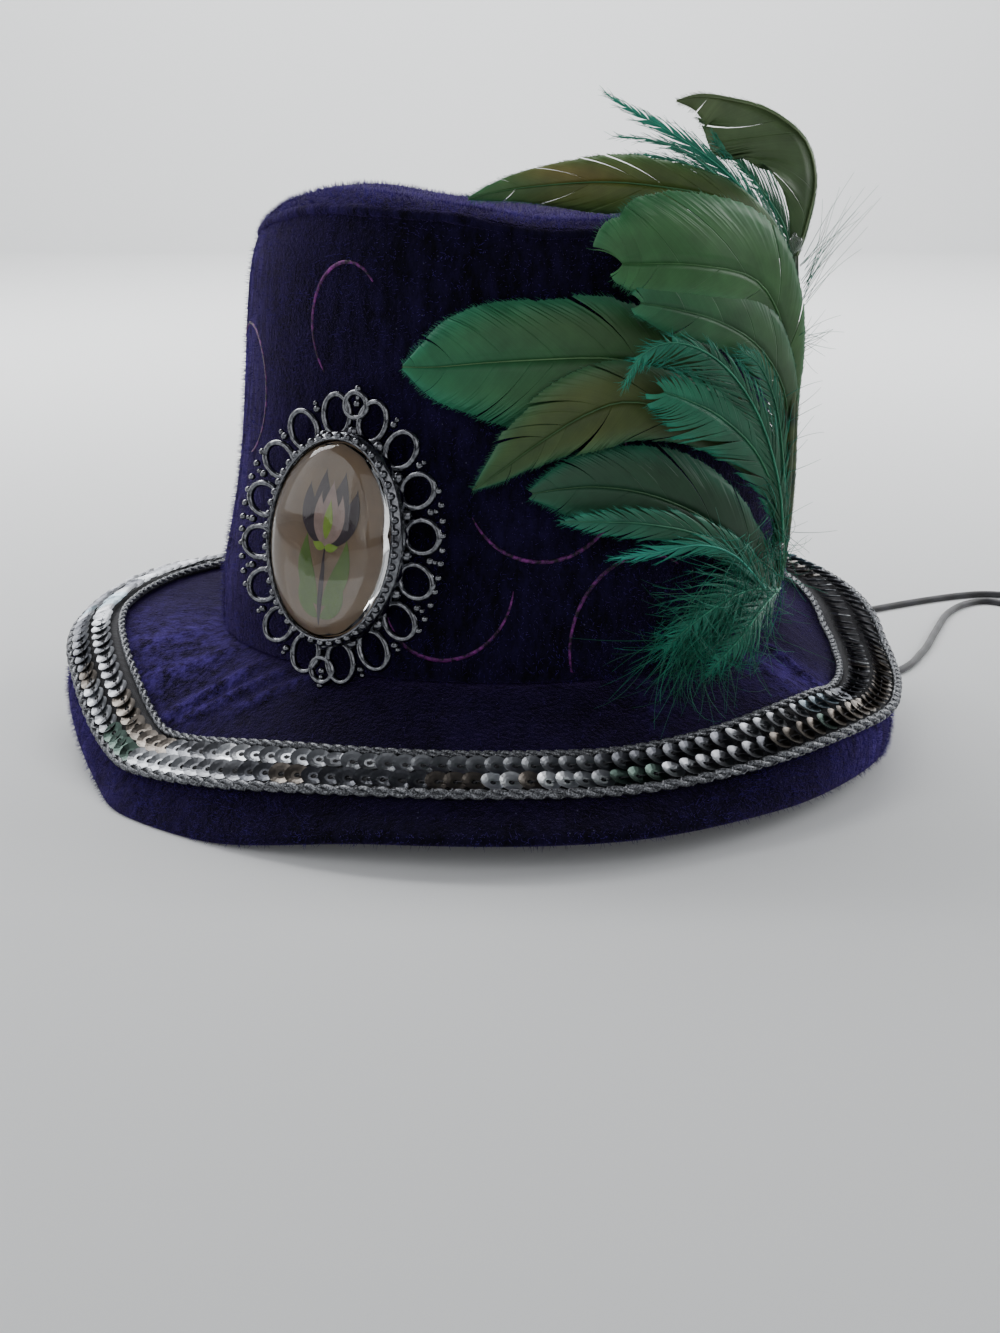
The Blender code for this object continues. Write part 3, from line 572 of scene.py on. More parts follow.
# Pile ends: the same rayon, given a brighter, more violet colour than the velvet's dye, in patches:
# painted sheen of pile seen from the side.
pile_ends_painted_sheen = bare_material("rayon pile ends, violet")
place = add(pile_ends_painted_sheen, "ShaderNodeTexCoord")
patch = add(pile_ends_painted_sheen, "ShaderNodeTexNoise", {"Scale": 1 / (6 * MM), "Detail": 3.0},
            {"Vector": (place, "Object")})
painted_sheen_tone = add(pile_ends_painted_sheen, "ShaderNodeValToRGB", links={"Fac": (patch, 0)},
                stops=((0.35, "#150d33"), (0.70, "#3c2a86")))
surface(pile_ends_painted_sheen, {"Roughness": 0.8, "Specular IOR Level": 0.2, "Sheen Weight": 0.4,
                    "Sheen Tint": linear("#7e63b8")},
        {"Base Color": (painted_sheen_tone, "Color")})


def beyond_axis(points):
    """How far each point is from the hat's axis."""
    return np.hypot(points[:, 0] - HAT_AXIS.x, points[:, 1] - HAT_AXIS.y)


def on_rim(at, normal):
    """Most on the upright edge of the brim, a few on its faces, none on the table."""
    edge = (np.abs(normal[:, 2]) < 0.75) * 1.0
    return (beyond_axis(at) > SEAM_R + 3 * MM) * (0.03 + edge) * (at[:, 2] > 0.6 * MM)


def on_top(at, normal):
    """Most round the edge of the top, a few on its middle."""
    return (normal[:, 2] > 0.0) * (0.12 + (beyond_axis(at) > 47 * MM) * 1.0)


def on_outside(at, normal):
    """The outside of the wall alone, not its lining."""
    aside = (at[:, 0] - HAT_AXIS.x) * normal[:, 0]
    back = (at[:, 1] - HAT_AXIS.y) * normal[:, 1]
    return (aside + back > 0) * 1.0


fibres("rim_fuzz", brim, RIM_FIBRES, on_rim, 3, pile_ends_painted_sheen)
fibres("top_fuzz", tip, TOP_FIBRES, on_top, 5, pile_ends_painted_sheen)
fibres("wall_fuzz", crown, WALL_FIBRES, on_outside, 7, pile_ends_painted_sheen)

# Foil print. Thin scrolls of magenta transfer foil pressed into the pile, worn
# and broken where the pile has moved.
SCROLL_HALF = 0.42 * MM
SCROLL_LIFT = 0.10 * MM
SCROLL_STEPS = 90
SCROLLS = (
    # middle in degrees and mm up the crown, first and last radius in mm, then where it
    # starts and how far it turns in degrees
    ((-86.0, 40.0), 12.0, 27.0, 210.0, 190.0),
    ((-60.0, 14.0), 10.0, 24.0, 60.0, 160.0),
    ((-120.0, 76.0), 6.0, 17.0, 40.0, 200.0),
    ((-52.0, 80.0), 5.0, 17.0, 170.0, -220.0),
    ((-158.0, 50.0), 9.0, 22.0, -70.0, 200.0),
    ((-178.0, 74.0), 5.0, 14.0, 120.0, 220.0),
    ((-104.0, 16.0), 8.0, 19.0, 200.0, 170.0),
    ((150.0, 44.0), 9.0, 23.0, 200.0, 260.0),
    ((100.0, 56.0), 8.0, 21.0, 20.0, -260.0),
    ((55.0, 40.0), 9.0, 23.0, 140.0, 260.0),
    ((15.0, 62.0), 6.0, 16.0, 60.0, -240.0),
)
wall = BVHTree.FromPolygons([v.co for v in crown.data.vertices],
                            [list(f.vertices) for f in crown.data.polygons])


def on_wall(az, height):
    """Point and normal of the crown's outside at a direction and height, or at
    the wall's edge where the height is beyond it."""
    hit = None
    height = max(height, crown_low + 2 * MM)
    while hit is None:
        start = polar(az, 2 * SEAM_R, height)
        hit, normal, index, far = wall.ray_cast(start, polar(az, 0.0, height) - start)
        height -= 1 * MM
    return hit, normal


points = []
faces = []
for (az, up), first, last, start, turn in SCROLLS:
    before = len(points)
    for i in range(SCROLL_STEPS + 1):
        share = i / SCROLL_STEPS
        radius = (first + (last - first) * share ** 1.6) * MM
        angle = math.radians(start + turn * share)
        row = []
        thin = SCROLL_HALF * (0.25 + 0.75 * math.sin(math.pi * share) ** 0.6)
        for away in (-thin, thin):
            across = (radius + away) * math.cos(angle)
            rise = (radius + away) * math.sin(angle)
            hit, normal = on_wall(az + math.degrees(across / SEAM_R), crown_low + up * MM + rise)
            row += [hit + normal * SCROLL_LIFT, hit - normal * SCROLL_LIFT]
        points += [row[0], row[2], row[3], row[1]]
    faces += ring_faces(before, SCROLL_STEPS + 1, 4, closed=False)
    faces += [tuple(before + k for k in (3, 2, 1, 0)), tuple(len(points) - 4 + k for k in range(4))]

# Transfer foil: a dyed metal film, magenta, dulled by the pile under it.
transfer_foil = bare_material("transfer foil on pile, magenta")
place = add(transfer_foil, "ShaderNodeTexCoord")
wear = add(transfer_foil, "ShaderNodeTexNoise",
           {"Scale": 1 / (1.6 * MM), "Detail": 4.0, "Roughness": 0.7},
           {"Vector": (place, "Object")})
worn = add(transfer_foil, "ShaderNodeValToRGB", links={"Fac": (wear, 0)},
           stops=((0.42, "#0c0514"), (0.54, "#5c1a62"), (0.75, "#9c349c")))
foil_bump = add(transfer_foil, "ShaderNodeBump", {"Strength": 0.7, "Distance": 0.15 * MM},
                {"Height": (wear, 0)})
surface(transfer_foil, {"Roughness": 0.5, "Metallic": 0.35},
        {"Base Color": (worn, "Color"), "Normal": (foil_bump, "Normal")})
scrolls = mesh_piece("foil_scrolls", points, faces, transfer_foil)
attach(scrolls, "root")

# Trim. A woven tape that carries two rows of cup sequins, sewn down between
# two gimp braids. It follows the band of the CAD model all the way round.
STATIONS = 58            # directions at which the CAD band has its corners
SEQUIN_D = 5.0 * MM
SEQUIN_HOLE = 1.2 * MM
SEQUIN_DISH = 0.42 * MM
SEQUIN_SKIN = 0.12 * MM
SEQUIN_PITCH = 3.6 * MM
SEQUIN_TILT = 11.0       # degrees, then how much each one's tilt and sway differ
TILT_SPREAD = 2.5
SWAY_SPREAD = 3.0
SEQUIN_UP = 0.25 * MM
SEQUIN_SIDES = 14
SEQUIN_ROWS = (0.31, 0.69)   # across the band, from its inner edge
TAPE_SUNK = 0.95 * MM        # top of the tape below the face of the band
TAPE_T = 0.30 * MM
LINE_STEPS = 1160

corners = [set() for k in range(STATIONS)]
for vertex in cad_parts["sequin_trim"].data.vertices:
    flat = vertex.co - HAT_AXIS
    corners[station(flat, STATIONS)].add((round(math.hypot(flat.x, flat.y), 6), round(flat.z, 6)))
tops = []
backs = []
for k, found in enumerate(corners):
    pairs = [sorted(pair, key=lambda p: p[1])
             for pair in zip(sorted(found)[0::2], sorted(found)[1::2])]
    az = -180 + 360 * k / STATIONS
    tops.append([np.array(polar(az, r, z)) for low, (r, z) in pairs])
    backs.append([np.array(polar(az, r, z)) for (r, z), high in pairs])
tops = np.array(tops)
backs = np.array(backs)


def round_the_band(table, turn, across):
    """Value of a periodic table of stations, smooth along and across the band."""
    i = int(turn) % STATIONS
    t = turn - math.floor(turn)
    rows = [table[(i + step) % STATIONS] for step in (-1, 0, 1, 2)]
    square = (2 * rows[0] - 5 * rows[1] + 4 * rows[2] - rows[3]) * t ** 2
    cube = (3 * rows[1] - rows[0] - 3 * rows[2] + rows[3]) * t ** 3
    line = 0.5 * (2 * rows[1] + (rows[2] - rows[0]) * t + square + cube)
    inner, middle, outer = line
    return (inner * (1 - across) * (1 - 2 * across) + middle * 4 * across * (1 - across)
            + outer * across * (2 * across - 1))


def band_line(across):
    """Points, lengths and directions along the band at one share of its width."""
    turns = [STATIONS * i / LINE_STEPS for i in range(LINE_STEPS)]
    line = np.array([round_the_band(tops, t, across) for t in turns])
    normal = line - np.array([round_the_band(backs, t, across) for t in turns])
    normal /= np.linalg.norm(normal, axis=1)[:, None]
    along = np.roll(line, -1, 0) - np.roll(line, 1, 0)
    along /= np.linalg.norm(along, axis=1)[:, None]
    run = np.concatenate([[0.0], np.cumsum(np.linalg.norm(np.roll(line, -1, 0) - line, axis=1))])
    return line, normal, along, run


def at_length(values, run, want):
    """Value at a length along a band line, between its two nearest points."""
    want = want % run[-1]
    i = min(int(np.searchsorted(run, want, side="right")) - 1, len(values) - 1)
    t = (want - run[i]) / (run[i + 1] - run[i])
    return values[i] * (1 - t) + values[(i + 1) % len(values)] * t


TAPE_SHARES = (0.02, 0.25, 0.5, 0.75, 0.98)
tape_lines = [band_line(share) for share in TAPE_SHARES]
points = []
for i in range(0, LINE_STEPS, 4):
    for deep, lines in ((TAPE_SUNK, tape_lines), (TAPE_SUNK + TAPE_T, tape_lines[::-1])):
        points += [line[i] - normal[i] * deep for line, normal, along, run in lines]
ring = 2 * len(TAPE_SHARES)
faces = ring_faces(0, len(points) // ring, ring)

# Trim tape: dark grey polyester, woven, a thread every 0.4 mm.
tape_weave = bare_material("woven polyester tape, dark grey")
place = add(tape_weave, "ShaderNodeTexCoord")
ribs = add(tape_weave, "ShaderNodeTexChecker",
           {"Scale": 1 / (0.4 * MM), "Color1": linear("#1b1b1f"), "Color2": linear("#3a3a40")},
           {"Vector": (place, "Object")})
tape_bump = add(tape_weave, "ShaderNodeBump", {"Strength": 0.5, "Distance": 0.1 * MM},
                {"Height": (ribs, "Fac")})
surface(tape_weave, {"Roughness": 0.8}, {"Base Color": (ribs, "Color"),
                                         "Normal": (tape_bump, "Normal")})
tape = mesh_piece("trim_tape", points, faces, tape_weave)
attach(tape, "root")
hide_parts("sequin_trim")

# Sequins. Five millimetre cups stamped from metallised polyester film, each
# sewn through its hole so that it lies over the one before it. The colours are
# the shades of one mixed batch, and each one sits at its own small angle.
SHADES = (
    # colour, share of the batch
    ("#808287", 9), ("#989ba0", 6), ("#5a5c62", 6), ("#d0d3d7", 3),
    ("#6e6862", 2), ("#44544e", 1), ("#8797a1", 1),
)
profile = ((SEQUIN_HOLE / 2, 0.0), (1.15 * MM, 0.02 * MM), (1.9 * MM, SEQUIN_DISH * 0.5),
           (SEQUIN_D / 2, SEQUIN_DISH))
outline = [(r, h) for r, h in profile] + [(r, h - SEQUIN_SKIN) for r, h in profile[::-1]]
spokes = [2 * math.pi * k / SEQUIN_SIDES for k in range(SEQUIN_SIDES)]
cup = np.array([(r * math.cos(a), r * math.sin(a), h) for r, h in outline for a in spokes])
cup_faces = ring_faces(0, len(outline), SEQUIN_SIDES)
chance = random.Random(11)
bag = [colour for colour, share in SHADES for i in range(share)]
points = []
faces = []
tints = []
stitches = []
for share in SEQUIN_ROWS:
    line, normal, along, run = band_line(share)
    sewn = round(run[-1] / SEQUIN_PITCH)
    shade = chance.choice(bag)
    for i in range(sewn):
        want = run[-1] * (i + 0.5 * (share > 0.5)) / sewn
        out = Vector(at_length(normal, run, want)).normalized()
        ahead = Vector(at_length(along, run, want)).normalized()
        tilt = math.radians(SEQUIN_TILT + chance.gauss(0, TILT_SPREAD))
        sway = math.radians(chance.gauss(0, SWAY_SPREAD))
        cross = out.cross(ahead).normalized()
        ahead = cross.cross(out).normalized()
        turned_out = out * math.cos(tilt) + ahead * math.sin(tilt) + cross * math.sin(sway)
        turned_out.normalize()
        turned_ahead = (ahead - turned_out * ahead.dot(turned_out)).normalized()
        turned_cross = turned_out.cross(turned_ahead)
        lift = SEQUIN_UP + chance.uniform(-0.04, 0.06) * MM
        middle = Vector(at_length(line, run, want)) + out * lift
        spin = np.array([turned_ahead, turned_cross, turned_out])
        start = len(points)
        points.extend((cup @ spin + np.array(middle)).tolist())
        faces.extend([tuple(start + v for v in face) for face in cup_faces])
        if chance.random() < 0.4:
            shade = chance.choice(bag)
        glow = chance.uniform(0.8, 1.2)
        tints.extend([[min(1.0, part * glow) for part in linear(shade)[:3]] + [1.0]] * len(cup))
        stitches.append((middle, turned_ahead, turned_cross, turned_out))


def tint(piece, colours):
    """Keep a colour for each point in the piece's own attribute."""
    layer = piece.data.color_attributes.new("tint", "FLOAT_COLOR", "POINT")
    layer.data.foreach_set("color", np.array(colours, np.float32).ravel())


# Metallised film: a mirror coat on polyester, with the fine marks of handling.
metal_film = bare_material("metallised polyester film, gunmetal")
batch = add(metal_film, "ShaderNodeVertexColor", layer_name="tint")
place = add(metal_film, "ShaderNodeTexCoord")
scuff = add(metal_film, "ShaderNodeTexNoise", {"Scale": 1 / (0.8 * MM), "Detail": 3.0},
            {"Vector": (place, "Object")})
film_rough = add(metal_film, "ShaderNodeMapRange", {"To Min": 0.22, "To Max": 0.46},
                 {"Value": (scuff, 0)})
film_bump = add(metal_film, "ShaderNodeBump", {"Strength": 0.12, "Distance": 0.1 * MM},
                {"Height": (scuff, 0)})
surface(metal_film, {"Metallic": 1.0},
        {"Base Color": (batch, "Color"), "Roughness": (film_rough, "Result"),
         "Normal": (film_bump, "Normal")})
sequins = mesh_piece("cup_sequins", points, faces, metal_film, smooth=False)
tint(sequins, tints)
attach(sequins, "root")

# Sewing thread. One short stitch comes up through each sequin's hole and goes
# down over its edge, under the next.
THREAD_R = 0.11 * MM
STITCH = (
    # along the band, across it and off it, in mm from the middle of the hole
    (-0.1, 0.0, -0.15), (0.25, 0.05, 0.22), (1.3, 0.15, 0.30), (2.3, 0.1, 0.45), (2.6, 0.0, 0.05),
)


def tube(points, faces, path, radii, sides, flat=1.0, up=Vector((0, 0, 1))):
    """Add a closed tube along a path, its rings kept from twisting."""
    start = len(points)
    count = len(path)
    side = None
    for i, at in enumerate(path):
        ahead = (path[min(i + 1, count - 1)] - path[max(i - 1, 0)]).normalized()
        if side is None:
            side = ahead.cross(up)
            side = side.normalized() if side.length > 1e-6 else ahead.orthogonal().normalized()
        side = (side - ahead * side.dot(ahead)).normalized()
        other = ahead.cross(side)
        for k in range(sides):
            a = 2 * math.pi * k / sides
            points.append(at + (side * math.cos(a) + other * math.sin(a) * flat) * radii[i])
    faces += ring_faces(start, count, sides, closed=False)
    faces.append(tuple(start + k for k in range(sides))[::-1])
    faces.append(tuple(start + (count - 1) * sides + k for k in range(sides)))


points = []
faces = []
for middle, ahead, cross, out in stitches:
    path = [middle + ahead * x * MM + cross * y * MM + out * z * MM for x, y, z in STITCH]
    tube(points, faces, path, [THREAD_R] * len(path), 5)
sewing_thread = bare_material("spun polyester thread, charcoal")
place = add(sewing_thread, "ShaderNodeTexCoord")
ply = add(sewing_thread, "ShaderNodeTexNoise", {"Scale": 1 / (0.3 * MM), "Detail": 2.0},
          {"Vector": (place, "Object")})
ply_tone = add(sewing_thread, "ShaderNodeValToRGB", links={"Fac": (ply, 0)},
               stops=((0.3, "#1d1d20"), (0.7, "#4a4a50")))
surface(sewing_thread, {"Roughness": 0.7}, {"Base Color": (ply_tone, "Color")})
thread_piece = mesh_piece("sequin_stitches", points, faces, sewing_thread)
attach(thread_piece, "root")

# Gimp braid. Two fat cords of grey metallic yarn, twisted together and bound
# by a thin third one, sewn along both edges of the tape; the outer is fatter.
GIMPS = (
    # name, share of the band's width, half the twist, cord radius and pitch in mm
    ("gimp_inner", 0.02, 0.42, 0.46, 5.6),
    ("gimp_outer", 0.985, 0.55, 0.60, 7.6),
)
YARN_STEP = 0.5 * MM
YARN_SIDES = 7
BINDING_R = 0.16         # mm, the thin third cord, which winds back twice as fast
BINDING_OUT = 1.75
YARN_SUNK = 0.55         # mm

# Metallic yarn: film strip wound on a cotton core, a turn every 0.4 mm.
metal_yarn = bare_material("wound metallic yarn, pewter grey")
place = add(metal_yarn, "ShaderNodeTexCoord")
wound = add(metal_yarn, "ShaderNodeTexNoise",
            {"Scale": 1 / (0.35 * MM), "Detail": 2.0, "Distortion": 0.5},
            {"Vector": (place, "Object")})
yarn_tone = add(metal_yarn, "ShaderNodeValToRGB", links={"Fac": (wound, 0)},
                stops=((0.32, "#232427"), (0.5, "#5c5e63"), (0.68, "#a3a6ab")))
yarn_bump = add(metal_yarn, "ShaderNodeBump", {"Strength": 0.6, "Distance": 0.15 * MM},
                {"Height": (wound, 0)})
surface(metal_yarn, {"Roughness": 0.42, "Metallic": 0.55},
        {"Base Color": (yarn_tone, "Color"), "Normal": (yarn_bump, "Normal")})
for name, share, half, thick, pitch in GIMPS:
    line, normal, along, run = band_line(share)
    turns = round(run[-1] / (pitch * MM))
    steps = round(run[-1] / YARN_STEP)
    points = []
    faces = []
    strands = (
        # where it starts in the twist, how far out it winds and its radius in mm, its turns
        (0.0, half, thick, 1), (0.5, half, thick, 1), (0.25, thick * BINDING_OUT, BINDING_R, -2))
    for offset, round_it, radius, way in strands:
        path = []
        for i in range(steps):
            want = run[-1] * i / steps
            out = Vector(at_length(normal, run, want)).normalized()
            cross = out.cross(Vector(at_length(along, run, want))).normalized()
            phase = 2 * math.pi * (turns * i / steps * way + offset)
            away = round_it * math.sin(phase)
            lift = thick * 0.9 - YARN_SUNK + round_it * 0.8 * math.cos(phase)
            path.append(Vector(at_length(line, run, want)) - cross * away * MM + out * lift * MM)
        start = len(points)
        for i, at in enumerate(path):
            ahead = (path[(i + 1) % steps] - path[i - 1]).normalized()
            out = Vector(at_length(normal, run, run[-1] * i / steps))
            side = ahead.cross(out).normalized()
            other = side.cross(ahead)
            for k in range(YARN_SIDES):
                a = 2 * math.pi * k / YARN_SIDES
                points.append(at + (side * math.cos(a) + other * math.sin(a)) * radius * MM)
        faces += ring_faces(start, steps, YARN_SIDES)
    gimp = mesh_piece(name, points, faces, metal_yarn)
    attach(gimp, "root")

# Brooch casting. Zinc alloy cast in one piece and plated with black nickel: a
# deep oval bezel with a beaded lip, sixteen open petals, small balls between
# them, and a loop at the top and at the bottom.
STONE_W = 30.0 * MM
STONE_H = 40.0 * MM
CLEAR = 0.3 * MM
BEZEL_W = 2.1 * MM
BEZEL_T = 4.6 * MM
WIRE_R = 0.78 * MM
BROOCH_AZ = -122.5
BROOCH_SLIDE = 2.6 * MM
BROOCH_UP = 28.5 * MM
BROOCH_LEAN = math.radians(7.5)
BROOCH_ROLL = math.radians(-5.0)
BROOCH_BACK = 0.979 * SEAM_R + CLEAR
outward = polar(BROOCH_AZ, 1.0, 0.0) - HAT_AXIS
beside = Vector((-outward.y, outward.x, 0.0))
facing = outward * math.cos(BROOCH_LEAN) + Vector((0, 0, math.sin(BROOCH_LEAN)))
lifted = facing.cross(beside)
right_axis = beside * math.cos(BROOCH_ROLL) + lifted * math.sin(BROOCH_ROLL)
up_axis = lifted * math.cos(BROOCH_ROLL) - beside * math.sin(BROOCH_ROLL)
seat = polar(BROOCH_AZ, BROOCH_BACK, SEAM_H + BROOCH_UP) + beside * BROOCH_SLIDE
PINNED = Matrix((
    (right_axis.x, up_axis.x, facing.x, seat.x),
    (right_axis.y, up_axis.y, facing.y, seat.y),
    (right_axis.z, up_axis.z, facing.z, seat.z),
    (0.0, 0.0, 0.0, 1.0),
))
HALF_W = STONE_W / 2
HALF_H = STONE_H / 2
OVAL = 96
PETALS = 16
PETAL_W = 3.3 * MM
PETAL_L = 4.1 * MM
SINK = 0.6 * MM
BEADS = 50
BEAD_R = 0.86 * MM
LIP_R = 0.36 * MM
BALL_R = (1.35 * MM, 0.85 * MM, 0.58 * MM)   # at a petal's foot, off its tip, beyond that
CHAIN_BALLS = 11             # small balls in the row at the top and at the bottom
CHAIN_STEP = 0.0165          # as a share of the way round
CHAIN_R = 0.74 * MM
LOOP_BALL_R = 0.8 * MM
WIRE_Z = WIRE_R * 1.25
FINE = 720

black_nickel = bare_material("black nickel plate on cast zinc")
place = add(black_nickel, "ShaderNodeTexCoord")
cast_grain = add(black_nickel, "ShaderNodeTexNoise", {"Scale": 1 / (0.9 * MM), "Detail": 3.0},
                 {"Vector": (place, "Object")})
plate_tone = add(black_nickel, "ShaderNodeValToRGB", links={"Fac": (cast_grain, 0)},
                 stops=((0.35, "#57585d"), (0.7, "#8e9095")))
plate_rough = add(black_nickel, "ShaderNodeMapRange", {"To Min": 0.08, "To Max": 0.24},
                  {"Value": (cast_grain, 0)})
plate_bump = add(black_nickel, "ShaderNodeBump", {"Strength": 0.06, "Distance": 0.1 * MM},
                 {"Height": (cast_grain, 0)})
surface(black_nickel, {"Metallic": 1.0},
        {"Base Color": (plate_tone, "Color"), "Roughness": (plate_rough, "Result"),
         "Normal": (plate_bump, "Normal")})

casting_points = []
casting_faces = []


def turned_oval(points, faces, profile, count=OVAL):
    """A ring of section profile (growth, height) round the stone."""
    start = len(points)
    for k in range(count):
        a = 2 * math.pi * k / count
        for grow, z in profile:
            points.append(Vector(((HALF_W + grow) * math.cos(a), (HALF_H + grow) * math.sin(a), z)))
    faces += ring_faces(start, count, len(profile))


def cast_ball(points, faces, at, radius, rings=6, sides=10):
    """A small cast ball."""
    start = len(points)
    for i in range(1, rings):
        tall = math.pi * i / rings
        for k in range(sides):
            a = 2 * math.pi * k / sides
            level = math.sin(tall)
            points.append(at + radius * Vector((level * math.cos(a), level * math.sin(a),
                                                math.cos(tall))))
    points.append(at + Vector((0, 0, radius)))
    points.append(at - Vector((0, 0, radius)))
    for k in range(sides):
        n = (k + 1) % sides
        faces.append((start + k, start + n, len(points) - 2))
        for i in range(rings - 2):
            a = start + i * sides
            faces.append((a + sides + k, a + sides + n, a + n, a + k))
        a = start + (rings - 2) * sides
        faces.append((a + n, a + k, len(points) - 1))


def cast_loop(points, faces, at, aim, half_across, half_along, wire, around=30, sides=10):
    """An oval loop of cast wire, its length turned to an angle."""
    start = len(points)
    for k in range(around):
        a = 2 * math.pi * k / around
        for m in range(sides):
            b = 2 * math.pi * m / sides
            across = (half_across + wire * math.cos(b)) * math.sin(a)
            along = (half_along + wire * math.cos(b)) * math.cos(a)
            points.append(Vector((at.x + along * math.cos(aim) - across * math.sin(aim),
                                  at.y + along * math.sin(aim) + across * math.cos(aim),
                                  WIRE_Z + wire * 1.15 * math.sin(b))))
    faces += ring_faces(start, around, sides, turned=True)


turned_oval(casting_points, casting_faces, (
    (CLEAR, 0.0), (BEZEL_W, 0.0), (BEZEL_W * 1.02, BEZEL_T * 0.3), (BEZEL_W, BEZEL_T * 0.72),
    (BEZEL_W * 0.8, BEZEL_T * 0.80), (BEZEL_W * 0.62, BEZEL_T * 0.86),
    (BEZEL_W * 0.3, BEZEL_T * 0.98), (CLEAR, BEZEL_T * 0.9)))
turned_oval(casting_points, casting_faces, [
    (CLEAR + 0.35 * MM + LIP_R * math.cos(a), BEZEL_T * 0.98 + LIP_R * math.sin(a))
    for a in [2 * math.pi * k / 8 for k in range(8)]])


def oval_path(grow, stretch=0.0):
    """Evenly spaced places round an oval, and the outward angle at each."""
    wide = HALF_W + grow
    high = HALF_H + grow + stretch
    path = [Vector((wide * math.cos(2 * math.pi * k / FINE),
                    high * math.sin(2 * math.pi * k / FINE), 0.0))
            for k in range(FINE + 1)]
    run = np.concatenate([[0.0], np.cumsum([(b - a).length for a, b in zip(path[:-1], path[1:])])])

    def place_at(share):
        """Place and outward angle at a share of the way round."""
        i = int(np.searchsorted(run, (share % 1.0) * run[-1], side="right")) - 1
        return path[i], math.atan2(path[i].y / high ** 2, path[i].x / wide ** 2)
    return place_at


petal_path = oval_path(BEZEL_W + PETAL_L - SINK)
bead_path = oval_path(BEZEL_W * 0.60)
for k in range(BEADS):
    at, aim = bead_path(k / BEADS)
    cast_ball(casting_points, casting_faces, at + Vector((0, 0, BEZEL_T * 0.93)), BEAD_R)
for k in range(PETALS):
    at, aim = petal_path((k + 0.5) / PETALS)
    cast_loop(casting_points, casting_faces, at, aim, PETAL_W, PETAL_L, WIRE_R * 0.86)
    at, aim = petal_path(k / PETALS)
    away = Vector((math.cos(aim), math.sin(aim), 0.0))
    foot = at - away * (PETAL_L - SINK) + Vector((0, 0, WIRE_Z))
    cast_ball(casting_points, casting_faces, foot, BALL_R[0], 7, 12)
    for reach, radius in zip((PETAL_L * 0.55, PETAL_L * 0.55 + 1.25 * MM), BALL_R[1:]):
        cast_ball(casting_points, casting_faces, at + away * reach + Vector((0, 0, WIRE_Z)), radius)
chain_path = oval_path(BEZEL_W + PETAL_L * 2 - SINK + WIRE_R)
for side in (0.0, 0.5):
    for i in range(CHAIN_BALLS):
        at, aim = chain_path(side + (i - CHAIN_BALLS // 2) * CHAIN_STEP)
        cast_ball(casting_points, casting_faces, at + Vector((0, 0, WIRE_Z)), CHAIN_R)
for way in (1, -1):
    end = Vector((0.0, way * (HALF_H + BEZEL_W + PETAL_L - SINK + PETAL_L * 0.48), 0.0))
    cast_loop(casting_points, casting_faces, end, math.radians(90), PETAL_W * 0.82, PETAL_W * 0.78,
              WIRE_R * 0.93)
    tip_at = end + Vector((0, way * (PETAL_W * 0.78 + WIRE_R), WIRE_Z))
    cast_ball(casting_points, casting_faces, tip_at, LOOP_BALL_R)
casting = mesh_piece("brooch_casting", [PINNED @ p for p in casting_points], casting_faces,
                     black_nickel)
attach(casting, "root")
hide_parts("brooch_frame")

# Picture card. A printed card under the glass: a plain tulip with long leaves
# in plum, shell and green on a taupe ground, printed as flat layers.
CARD_UP = 2.4 * MM
CARD_T = 0.9 * MM
INK_T = 0.03 * MM
LAYER_T = 0.02 * MM
card_points = []
for z in (CARD_UP, CARD_UP + CARD_T):
    card_points += [Vector((HALF_W * math.cos(a), HALF_H * math.sin(a), z))
                    for a in [2 * math.pi * k / OVAL for k in range(OVAL)]]
card_faces = [tuple(range(OVAL))[::-1], tuple(range(OVAL, 2 * OVAL))]
card_faces += ring_faces(0, 2, OVAL, closed=False)

printed_card = bare_material("offset printed card, taupe")
place = add(printed_card, "ShaderNodeTexCoord")
paper = add(printed_card, "ShaderNodeTexNoise",
            {"Scale": 1 / (7 * MM), "Detail": 6.0, "Roughness": 0.6},
            {"Vector": (place, "Object")})
ground = add(printed_card, "ShaderNodeValToRGB", links={"Fac": (paper, 0)},
             stops=((0.3, "#786350"), (0.7, "#957c62")))
surface(printed_card, {"Roughness": 0.6}, {"Base Color": (ground, "Color")})
card = mesh_piece("picture_card", [PINNED @ p for p in card_points], card_faces, printed_card,
                  smooth=False)
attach(card, "root")
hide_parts("brooch_picture")

INKS = (
    # name, colour, then for each petal or leaf its foot in mm, direction and bend in
    # degrees, length and half width in mm, and the layer it is printed in
    ("ink_leaves", "#5c7a2e", (
        ((-0.6, -13.0), 128.0, -46.0, 15.0, 1.9, 1), ((0.6, -13.0), 52.0, 46.0, 15.0, 1.9, 1),
        ((-0.3, -15.5), 150.0, -60.0, 9.0, 1.4, 2), ((0.3, -15.5), 30.0, 60.0, 9.0, 1.4, 2))),
    ("ink_plum", "#33222e", (
        ((0.0, -1.0), 142.0, -58.0, 13.5, 2.3, 3), ((0.0, -1.0), 38.0, 58.0, 13.5, 2.3, 3),
        ((0.0, -1.0), 108.0, -20.0, 15.0, 2.5, 4), ((0.0, -1.0), 72.0, 20.0, 15.0, 2.5, 4),
        ((0.0, -17.0), 90.0, 0.0, 17.0, 0.55, 2))),
    ("ink_shell", "#a58b84", (
        ((0.0, -1.2), 122.0, -40.0, 11.0, 1.5, 6), ((0.0, -1.2), 58.0, 40.0, 11.0, 1.5, 6),
        ((0.0, -1.2), 90.0, 0.0, 13.0, 2.2, 7))),
    ("ink_lime", "#8fae3c", (
        ((0.0, 0.2), 90.0, 0.0, 8.0, 1.0, 9), ((0.0, -1.5), 180.0, -30.0, 3.2, 0.9, 8),
        ((0.0, -1.5), 0.0, 30.0, 3.2, 0.9, 8))),
)
PETAL_STEPS = 22
ink_top = Vector((0, 0, INK_T))
